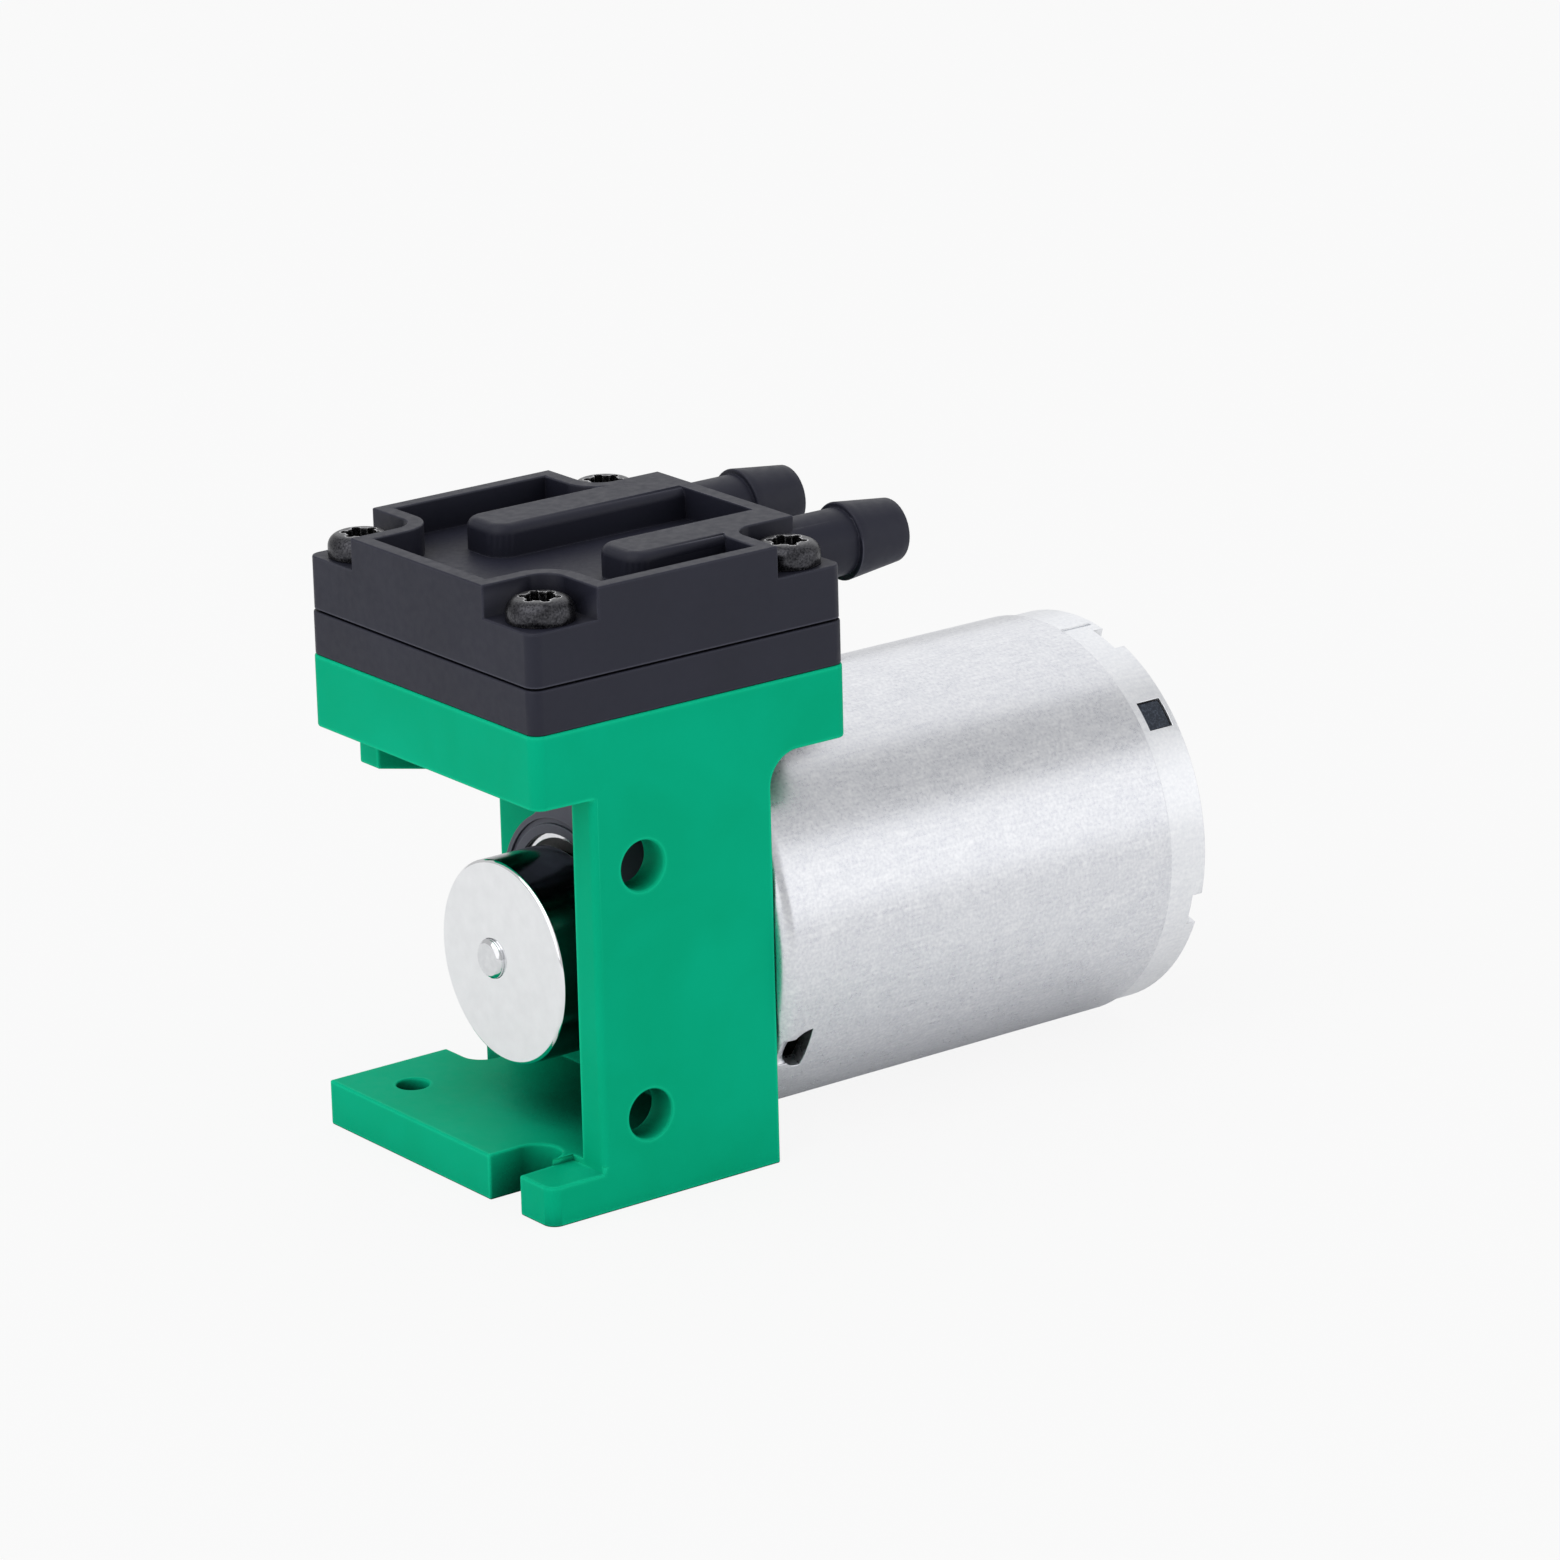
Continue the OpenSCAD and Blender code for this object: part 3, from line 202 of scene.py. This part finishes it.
# Materials
def green_plastic():
    """Satin green moulding: faint flow clouding, painted highlights along its edges, painted
    shade in its corners and behind other pieces.
    """
    shader = Shader("green_plastic")
    clouds = shader.noise(7 * MM, 3, distortion=0.5)
    base = shader.ramp(clouds, [(0.35, GREEN_DEEP), (0.65, GREEN)])
    # Painted highlight: lighter green along the edges
    base = shader.mix(shader.edges(0.45 * MM), base, GREEN_PAINTED_HIGHLIGHT)
    # Painted shade: dark green in corners and behind other pieces
    shader.colour(shader.mix(shader.painted_shade_mask(12 * MM, 0.2, 0.52), base, GREEN_PAINTED_SHADE))
    shader.roughness(shader.ramp(shader.noise(0.6 * MM, 4), [(0.3, 0.4), (0.7, 0.5)]))
    shader.bump(shader.noise(0.3 * MM, 3), 0.002 * MM)
    shader.set("Specular IOR Level", 0.012)
    return shader.material


def black_plastic(name, base=BLACK, highlight_and_light_marks=BLACK_PAINTED_HIGHLIGHT, speckle=0.0):
    """Fine satin moulding: painted highlights along its edges, painted shade in its corners,
    and lighter grains where speckled.
    """
    shader = Shader(name)
    deep = dimmed(base, 0.88)
    body = shader.ramp(shader.noise(5 * MM, 3), [(0.3, deep), (0.7, base)])
    if speckle:
        grains = shader.ramp(shader.noise(0.13 * MM, 3), [(0.45, 0.0), (0.7, speckle)])
        body = shader.mix(grains, body, highlight_and_light_marks)
    # Painted highlight: the lighter tone along the edges
    body = shader.mix(shader.edges(0.2 * MM), body, highlight_and_light_marks)
    # Painted shade: darker in corners and behind other pieces
    shader.colour(shader.mix(shader.painted_shade_mask(4 * MM, 0.2, 0.8), body, dimmed(base, 0.4)))
    shader.roughness(shader.ramp(shader.noise(0.5 * MM, 4), [(0.3, 0.42), (0.7, 0.52)]))
    shader.bump(shader.noise(0.15 * MM, 4), 0.003 * MM)
    shader.set("Specular IOR Level", 0.22)
    return shader.material


def plated_steel():
    """Zinc plated can: fine speckle and drawing lines; duller on its band, whose lighter tone
    is a painted reflection.
    """
    shader = Shader("plated_steel")
    speckle = shader.noise(0.2 * MM, 4)
    along = shader.noise(0.2 * MM, 3, shader.stretched(0.1, 1, 1))
    tone = shader.mix(0.3, speckle, along)
    tone = shader.mix(0.2, tone, shader.noise(1.6 * MM, 4, distortion=0.6))
    on_band = shader.behind(BAND_START)
    drawn = shader.ramp(tone, [(0.32, srgb(206, 208, 215)), (0.66, srgb(238, 239, 242))])
    # Painted reflection: the band's lighter tone stands in for the brighter light it mirrors
    band_tone_and_painted_reflection = shader.ramp(tone, [(0.3, srgb(226, 228, 233)), (0.7, srgb(248, 249, 251))])
    shader.colour(shader.mix(on_band, drawn, band_tone_and_painted_reflection))
    satin = shader.ramp(tone, [(0.3, 0.25), (0.7, 0.34)])
    dull = shader.ramp(tone, [(0.3, 0.36), (0.7, 0.44)])
    shader.roughness(shader.mix(on_band, satin, dull))
    shader.bump(tone, 0.0012 * MM)
    shader.set("Metallic", 1.0)
    return shader.material


def metal(name, low, high, rough, grain=(1, 1, 1), size=0.3, depth=0.001):
    """Bare metal between two tones, with a grain. Size and depth are in millimetres."""
    shader = Shader(name)
    streaks = shader.noise(size * MM, 4, shader.stretched(*grain))
    tone = shader.mix(0.4, streaks, shader.noise(2.5 * MM, 3))
    shader.colour(shader.ramp(tone, [(0.3, low), (0.7, high)]))
    shader.roughness(shader.ramp(streaks, [(0.3, rough[0]), (0.7, rough[1])]))
    shader.bump(streaks, depth * MM)
    shader.set("Metallic", 1.0)
    return shader.material


def ground_steel():
    """Ground disk and shaft: bright on the front face; the dark colour along the turned side
    is painted shade, standing in for the dark things it mirrors.
    """
    shader = Shader("ground_steel")
    swirl = shader.noise(0.8 * MM, 4)
    face = shader.ramp(swirl, [(0.3, srgb(236, 237, 239)), (0.7, srgb(242, 243, 245))])
    # Painted shade: the turned side is darkened for the dark surroundings it mirrors
    side_painted_shade = shader.ramp(swirl, [(0.3, srgb(134, 140, 144)), (0.7, srgb(148, 154, 158))])
    on_side = shader.behind(DISK_SIDE)
    shader.colour(shader.mix(on_side, face, side_painted_shade))
    ground = shader.ramp(swirl, [(0.3, 0.07), (0.7, 0.1)])
    turned = shader.ramp(swirl, [(0.3, 0.15), (0.7, 0.2)])
    shader.roughness(shader.mix(on_side, ground, turned))
    shader.bump(swirl, 0.00005 * MM)
    shader.set("Metallic", 1.0)
    return shader.material


def black_steel():
    """Dark nickelled screws, whose bright edges are partly rubbed by the driver and the barrel
    and partly painted glints.
    """
    shader = Shader("black_steel")
    grains = shader.noise(0.12 * MM, 3)
    dark = shader.ramp(grains, [(0.35, srgb(46, 46, 50)), (0.7, srgb(84, 84, 88))])
    # Bright edges: partly wear, partly painted glints
    highlight_and_light_marks = shader.ramp(grains, [(0.3, srgb(150, 150, 154)), (0.6, srgb(244, 244, 246))])
    shader.colour(shader.mix(shader.edges(0.2 * MM), dark, highlight_and_light_marks))
    shader.roughness(shader.ramp(grains, [(0.3, 0.24), (0.7, 0.38)]))
    shader.bump(grains, 0.004 * MM)
    shader.set("Metallic", 1.0)
    return shader.material


def matt(name, low, high):
    """Rubber, ferrite or carbon: dull, with fine pores."""
    shader = Shader(name)
    pores = shader.noise(0.3 * MM, 5)
    tone = shader.mix(0.5, pores, shader.noise(2 * MM, 3))
    shader.colour(shader.ramp(tone, [(0.3, low), (0.7, high)]))
    shader.roughness(shader.ramp(pores, [(0.3, 0.55), (0.7, 0.75)]))
    shader.bump(pores, 0.006 * MM)
    return shader.material


def wire():
    """Enamelled copper wire, laid in turns that run round each pole."""
    shader = Shader("copper_wire")
    turns = shader.node("TexWave", bands_direction="X", wave_profile="SIN")
    turns.inputs["Scale"].default_value = 1 / (1.6 * MM)
    shader.join(shader.place, turns, "Vector")
    tone = shader.mix(0.3, turns.outputs["Fac"], shader.noise(1 * MM))
    shader.colour(shader.ramp(tone, [(0.2, srgb(120, 58, 26)), (0.8, srgb(196, 106, 58))]))
    shader.roughness(shader.ramp(tone, [(0.2, 0.3), (0.8, 0.42)]))
    shader.bump(turns.outputs["Fac"], 0.03 * MM)
    shader.set("Metallic", 0.7)
    shader.set("Coat Weight", 0.6)
    return shader.material


MATERIALS = {
    "green_plastic": green_plastic(),
    "black_plastic": black_plastic("black_plastic"),
    # The third colour is a painted edge highlight; for the motor's plastic it is also the
    # colour of its speckle grains
    "motor_plastic": black_plastic("motor_plastic", srgb(42, 48, 58), srgb(90, 99, 114), 0.45),
    "rod_plastic": black_plastic("rod_plastic", srgb(100, 100, 114), srgb(126, 126, 138)),
    "black_rubber": matt("black_rubber", srgb(34, 34, 36), srgb(52, 52, 54)),
    "black_steel": black_steel(),
    "plated_steel": plated_steel(),
    "ground_steel": ground_steel(),
    "bright_steel": metal("bright_steel", srgb(216, 217, 220), srgb(236, 237, 239),
                          (0.08, 0.14), depth=0.0004),
    "lamination_steel": metal("lamination_steel", srgb(120, 122, 126), srgb(160, 162, 166),
                              (0.3, 0.45), grain=(8, 0.3, 0.3), size=0.5, depth=0.01),
    "sintered_bronze": metal("sintered_bronze", srgb(120, 88, 48), srgb(176, 134, 80),
                             (0.35, 0.5)),
    "tinned_brass": metal("tinned_brass", srgb(196, 186, 150), srgb(226, 220, 196),
                          (0.2, 0.32)),
    "copper": metal("copper", srgb(176, 98, 60), srgb(220, 140, 98), (0.18, 0.3)),
    "copper_wire": wire(),
    "ferrite": matt("ferrite", srgb(52, 52, 56), srgb(78, 78, 82)),
    "carbon": matt("carbon", srgb(34, 34, 36), srgb(58, 58, 60)),
}


def dress_nodes():
    """Gives each CAD node the material of its slot."""
    for name, slot in SLOT_OF.items():
        NODES[name].data.materials.clear()
        NODES[name].data.materials.append(MATERIALS[slot])


dress_nodes()


# Helpers for pieces
def alone(piece):
    """Selects one piece and nothing else."""
    bpy.ops.object.select_all(action="DESELECT")
    piece.select_set(True)
    bpy.context.view_layer.objects.active = piece


def apply_modifier(piece, kind, **settings):
    """Adds one modifier with the given settings and applies it."""
    modifier = piece.modifiers.new(kind.lower(), kind)
    for key, value in settings.items():
        setattr(modifier, key, value)
    alone(piece)
    bpy.ops.object.modifier_apply(modifier=modifier.name)


SHARP = math.radians(30)          # an edge that turns more than this is softened
SMOOTH = math.radians(38)         # an edge that turns less than this is shaded smooth
FLAT = math.radians(0.05)         # triangles that turn less than this are one face
WELD = 0.001 * MM                 # corners of a CAD node's loose triangles that are one


def soften(piece, width, where):
    """Rounds the outer edges whose middle passes where, as a mould leaves them."""
    form = bmesh.new()
    form.from_mesh(piece.data)
    weight = form.edges.layers.float.get("bevel_weight_edge")
    weight = weight or form.edges.layers.float.new("bevel_weight_edge")
    for edge in form.edges:
        middle = (edge.verts[0].co + edge.verts[1].co) / 2
        sharp = edge.is_manifold and edge.is_convex and edge.calc_face_angle() > SHARP
        edge[weight] = 1.0 if sharp and where(middle) else 0.0
    form.to_mesh(piece.data)
    form.free()
    apply_modifier(piece, "BEVEL", limit_method="WEIGHT", width=width, segments=2,
                   use_clamp_overlap=False, loop_slide=False)


def finish_piece(piece, name, node):
    """Shades the piece, names it, and lets it stand for a CAD node with that node's finish."""
    piece.name = name
    piece.data.name = name
    alone(piece)
    bpy.ops.object.transform_apply(location=True, rotation=True, scale=True)
    bpy.ops.object.shade_smooth_by_angle(angle=SMOOTH)
    apply_modifier(piece, "WEIGHTED_NORMAL", keep_sharp=True, weight=80)
    piece.data.materials.clear()
    piece.data.materials.append(MATERIALS[SLOT_OF[node]])
    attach(piece, BODY_OF[node])
    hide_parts(node)


def joined_copy(node):
    """A copy of a CAD node with its loose triangles merged and its flat faces made whole."""
    piece = bpy.data.objects.new(node, NODES[node].data.copy())
    bpy.context.scene.collection.objects.link(piece)
    alone(piece)
    bpy.ops.object.mode_set(mode="EDIT")
    bpy.ops.mesh.select_all(action="SELECT")
    bpy.ops.mesh.remove_doubles(threshold=WELD)
    bpy.ops.mesh.dissolve_limited(angle_limit=FLAT)
    bpy.ops.object.mode_set(mode="OBJECT")
    return piece


def softened(node, name, width, where):
    """Dresses a CAD node in a copy of itself with softened edges."""
    piece = joined_copy(node)
    soften(piece, width, where)
    finish_piece(piece, name, node)


def add_cylinder(radius, bottom, top, x, y, vertices):
    """Upright cylinder between two heights."""
    bpy.ops.object.select_all(action="DESELECT")
    bpy.ops.mesh.primitive_cylinder_add(vertices=vertices, radius=radius, depth=top - bottom,
                                        location=(x, y, (bottom + top) / 2))
    return bpy.context.object


def pick_faces(piece, wanted):
    """In edit mode, selects the faces whose normal passes wanted."""
    bpy.ops.mesh.select_all(action="DESELECT")
    form = bmesh.from_edit_mesh(piece.data)
    for face in form.faces:
        if wanted(face.normal):
            face.select_set(True)
    bmesh.update_edit_mesh(piece.data)


def joined(pieces):
    """Makes one piece of several."""
    bpy.ops.object.select_all(action="DESELECT")
    for piece in pieces:
        piece.select_set(True)
    bpy.context.view_layer.objects.active = pieces[0]
    bpy.ops.object.join()
    return pieces[0]


# Cover screws
SCREW_HEAD_R = 1.9 * MM
SCREW_HEAD_H = 1.3 * MM
SCREW_EDGE = 0.72 * MM            # full rounding of the head's upper edge
SCREW_UNDER_EDGE = 0.12 * MM      # small rounding where the head meets its seat
SCREW_SHANK_R = 0.99 * MM
SCREW_TIP_CHAMFER = 0.15 * MM
RECESS_DEPTH = 0.75 * MM
RECESS_CORE_R = 0.86 * MM
RECESS_LOBES = 6
RECESS_LOBE_R = 0.25 * MM
RECESS_LOBE_PLACE = 0.92 * MM     # distance of a lobe's middle from the screw's
RECESS_TURN = 15                  # degrees that the first lobe is turned from the X axis


def cover_screw(x, y, seat, tip):
    """Pan head screw with a lobed recess. Its head stands on seat, its shank ends at tip."""
    top = seat + SCREW_HEAD_H
    screw = add_cylinder(SCREW_HEAD_R, seat, top, x, y, 72)
    bpy.ops.object.mode_set(mode="EDIT")
    pick_faces(screw, lambda normal: normal.z > 0.9)
    bpy.ops.mesh.bevel(offset=SCREW_EDGE, segments=9, profile=0.5)
    pick_faces(screw, lambda normal: normal.z < -0.9)
    bpy.ops.mesh.bevel(offset=SCREW_UNDER_EDGE, segments=2, profile=0.5)
    pick_faces(screw, lambda normal: normal.z < -0.99)
    bpy.ops.mesh.inset(thickness=SCREW_HEAD_R - SCREW_UNDER_EDGE - SCREW_SHANK_R)
    bpy.ops.mesh.extrude_region_move(TRANSFORM_OT_translate={"value": (0, 0, tip - seat)})
    bpy.ops.mesh.bevel(offset=SCREW_TIP_CHAMFER, segments=1)
    bpy.ops.object.mode_set(mode="OBJECT")
    floor_z = top - RECESS_DEPTH
    recess = [add_cylinder(RECESS_CORE_R, floor_z, top + MM, x, y, 36)]
    for lobe in range(RECESS_LOBES):
        turn = math.radians(360 / RECESS_LOBES * lobe + RECESS_TURN)
        recess.append(add_cylinder(RECESS_LOBE_R, floor_z, top + MM,
                                   x + RECESS_LOBE_PLACE * math.cos(turn),
                                   y + RECESS_LOBE_PLACE * math.sin(turn), 20))
    cutter = joined(recess)
    apply_modifier(screw, "BOOLEAN", operation="DIFFERENCE", solver="EXACT", use_self=True,
                   object=cutter)
    bpy.data.objects.remove(cutter)
    return screw


def cover_screws():
    """Models the near front screw and copies it to the other three corners."""
    low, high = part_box("head_screws")
    seat = high[2] - SCREW_HEAD_H
    first = cover_screw(low[0] + SCREW_HEAD_R, low[1] + SCREW_HEAD_R, seat, low[2])
    alone(first)
    bpy.ops.object.transform_apply(location=True, rotation=True, scale=True)
    step_x = high[0] - low[0] - 2 * SCREW_HEAD_R
    step_y = high[1] - low[1] - 2 * SCREW_HEAD_R
    screws = [first]
    for x, y in ((step_x, 0), (0, step_y), (step_x, step_y)):
        copy = bpy.data.objects.new("screw", first.data.copy())
        bpy.context.scene.collection.objects.link(copy)
        copy.location = (x, y, 0)
        screws.append(copy)
    finish_piece(joined(screws), "cover_screws", "head_screws")


# Which edges of the moulded pieces are softened
OUTER_RIM = 2 * MM                # how far in from a plate's sides its outer edges reach
COVER_SEAT = COVER_BOTTOM + 0.4 * MM    # the joint with the lower plate, left sharp
COVER_DECK = COVER_BOTTOM + 3 * MM      # height above which every edge of the cover shows
ROD_SHOWS = 22 * MM               # height below which the rod shows
FOOT_TOP = 2.7 * MM
SPIT_FRONT = -23.4 * MM           # the foot's sharp spit beside the near slot
SPIT_REAR = -21 * MM
SPIT_SIDE = -7.4 * MM


def every_edge(at):
    return True


def outer(node):
    """A test for places near the sides of a node's box."""
    low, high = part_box(node)
    return lambda at: min(at.x - low[0], high[0] - at.x,
                          at.y - low[1], high[1] - at.y) < OUTER_RIM


COVER_SIDE = outer("top_cover")


def bracket_edge(at):
    """Leaves out the spit, which is too thin for a rounded edge."""
    on_spit = SPIT_FRONT < at.x < SPIT_REAR and at.y < SPIT_SIDE
    return not (on_spit and abs(at.z - FOOT_TOP) < 0.1 * MM)


def cover_edge(at):
    """Leaves out the plenums inside the cover and its joint with the lower plate."""
    return at.z > COVER_SEAT and (at.z > COVER_DECK or COVER_SIDE(at))


def rod_edge(at):
    return at.z < ROD_SHOWS


# Node, name of the piece that dresses it, width of its softened edges, and which they are
SOFTENED = [
    ("bracket", "moulded_bracket", 0.12 * MM, bracket_edge),
    ("valve_plate", "lower_plate", 0.1 * MM, outer("valve_plate")),
    ("top_cover", "moulded_cover", 0.1 * MM, cover_edge),
    ("motor_can", "drawn_can", 0.05 * MM, every_edge),
    ("motor_end_bell", "end_bell", 0.06 * MM, every_edge),
    ("eccentric", "balance_disk", 0.04 * MM, every_edge),
    ("motor_shaft", "ground_shaft", 0.03 * MM, every_edge),
    ("connecting_rod", "moulded_rod", 0.05 * MM, rod_edge),
    ("bearing_outer_race", "outer_race", 0.06 * MM, every_edge),
    ("terminals", "solder_tabs", 0.04 * MM, every_edge),
]
for dressed in SOFTENED:
    softened(*dressed)
cover_screws()


# Floor, world and lamps
FLOOR_SIZE = 6
FLOOR_GLOW_SEEN = 0.94            # share of the floor's even glow that the camera sees
FLOOR_GLOW_MIRRORED = 0.04        # of that, what metal mirrors: the rest is the lit floor


def floor():
    """Pale floor that looks even to the camera and still takes the object's shadow."""
    bpy.ops.object.select_all(action="DESELECT")
    bpy.ops.mesh.primitive_plane_add(size=FLOOR_SIZE, location=(0, 0, 0))
    plane = bpy.context.object
    plane.name = "floor"
    shader = Shader("floor")
    shader.set("Roughness", 0.9)
    shader.set("Base Color", (0.9, 0.9, 0.9, 1))
    shader.set("Specular IOR Level", 0)
    glow = shader.node("Emission")
    glow.inputs["Color"].default_value = srgb(250, 250, 250)
    rays = shader.node("LightPath")
    mirrored = shader.node("Math", operation="MAXIMUM")
    shader.tree.links.new(rays.outputs["Is Glossy Ray"], mirrored.inputs[0])
    shader.tree.links.new(rays.outputs["Is Transmission Ray"], mirrored.inputs[1])
    seen = shader.node("Math", operation="MULTIPLY_ADD")
    shader.tree.links.new(mirrored.outputs[0], seen.inputs[0])
    seen.inputs[1].default_value = FLOOR_GLOW_MIRRORED
    shader.tree.links.new(rays.outputs["Is Camera Ray"], seen.inputs[2])
    share = shader.node("Math", operation="MULTIPLY")
    shader.tree.links.new(seen.outputs[0], share.inputs[0])
    share.inputs[1].default_value = FLOOR_GLOW_SEEN
    both = shader.node("MixShader")
    shader.tree.links.new(share.outputs[0], both.inputs[0])
    shader.tree.links.new(shader.surface.outputs[0], both.inputs[1])
    shader.tree.links.new(glow.outputs[0], both.inputs[2])
    shader.join(both.outputs[0], shader.tree.nodes["Material Output"], "Surface")
    plane.data.materials.append(shader.material)


def world(strength):
    """Even white light from all round."""
    scene_world = bpy.data.worlds.new("studio")
    scene_world.use_nodes = True
    background = scene_world.node_tree.nodes["Background"]
    background.inputs["Color"].default_value = (1, 1, 1, 1)
    background.inputs["Strength"].default_value = strength
    bpy.context.scene.world = scene_world


def lamp(name, place, power, width, height):
    """Soft rectangular lamp that faces the middle of the pump."""
    data = bpy.data.lights.new(name, "AREA")
    data.shape = "RECTANGLE"
    data.size = width
    data.size_y = height
    data.energy = power
    made = bpy.data.objects.new(name, data)
    bpy.context.scene.collection.objects.link(made)
    made.location = place
    aim = Vector(PUMP_MIDDLE) - Vector(place)
    made.rotation_euler = aim.to_track_quat("-Z", "Y").to_euler()


# Camera, solved from the straight edges in the photograph. Angles in degrees, lens in mm
CAMERA_PLACE = (-221.35 * MM, -295.55 * MM, 135.6 * MM)
CAMERA_AZIMUTH = -36.75
CAMERA_ELEVATION = 17.66
CAMERA_ROLL = -1.45
CAMERA_LENS = 155.3
CAMERA_SENSOR = 36


def camera():
    """Camera at the photograph's place, with everything sharp."""
    azimuth = math.radians(CAMERA_AZIMUTH)
    elevation = math.radians(CAMERA_ELEVATION)
    roll = math.radians(CAMERA_ROLL)
    view = Vector((-math.sin(azimuth) * math.cos(elevation),
                   math.cos(azimuth) * math.cos(elevation), -math.sin(elevation)))
    level = Vector((math.cos(azimuth), math.sin(azimuth), 0))
    upright = level.cross(view)
    right = math.cos(roll) * level + math.sin(roll) * upright
    up = right.cross(view)
    data = bpy.data.cameras.new("camera")
    data.sensor_width = CAMERA_SENSOR
    data.lens = CAMERA_LENS
    data.clip_start = 0.01
    data.clip_end = 50
    made = bpy.data.objects.new("camera", data)
    bpy.context.scene.collection.objects.link(made)
    made.matrix_world = Matrix.Translation(CAMERA_PLACE) @ Matrix(
        (right, up, -view)).transposed().to_4x4()
    bpy.context.scene.camera = made


# Name, place, power, width and height of each lamp. All face the middle of the pump.
LAMPS = [
    ("front_lamp", (-0.5, -0.1, 0.26), 0.55, 0.5, 0.5),
    ("top_lamp", (-0.22, 0.0, 0.5), 0.85, 0.5, 0.5),
    ("side_lamp", (0.34, -0.46, 0.15), 0.62, 0.8, 0.42),
    ("back_lamp", (0.33, 0.3, 0.4), 0.66, 0.7, 0.7),
]
PUMP_MIDDLE = (0, 0, 0.018)
WORLD_LIGHT = 0.6

floor()
world(WORLD_LIGHT)
for row in LAMPS:
    lamp(*row)
camera()
bpy.context.scene.view_settings.view_transform = "Standard"
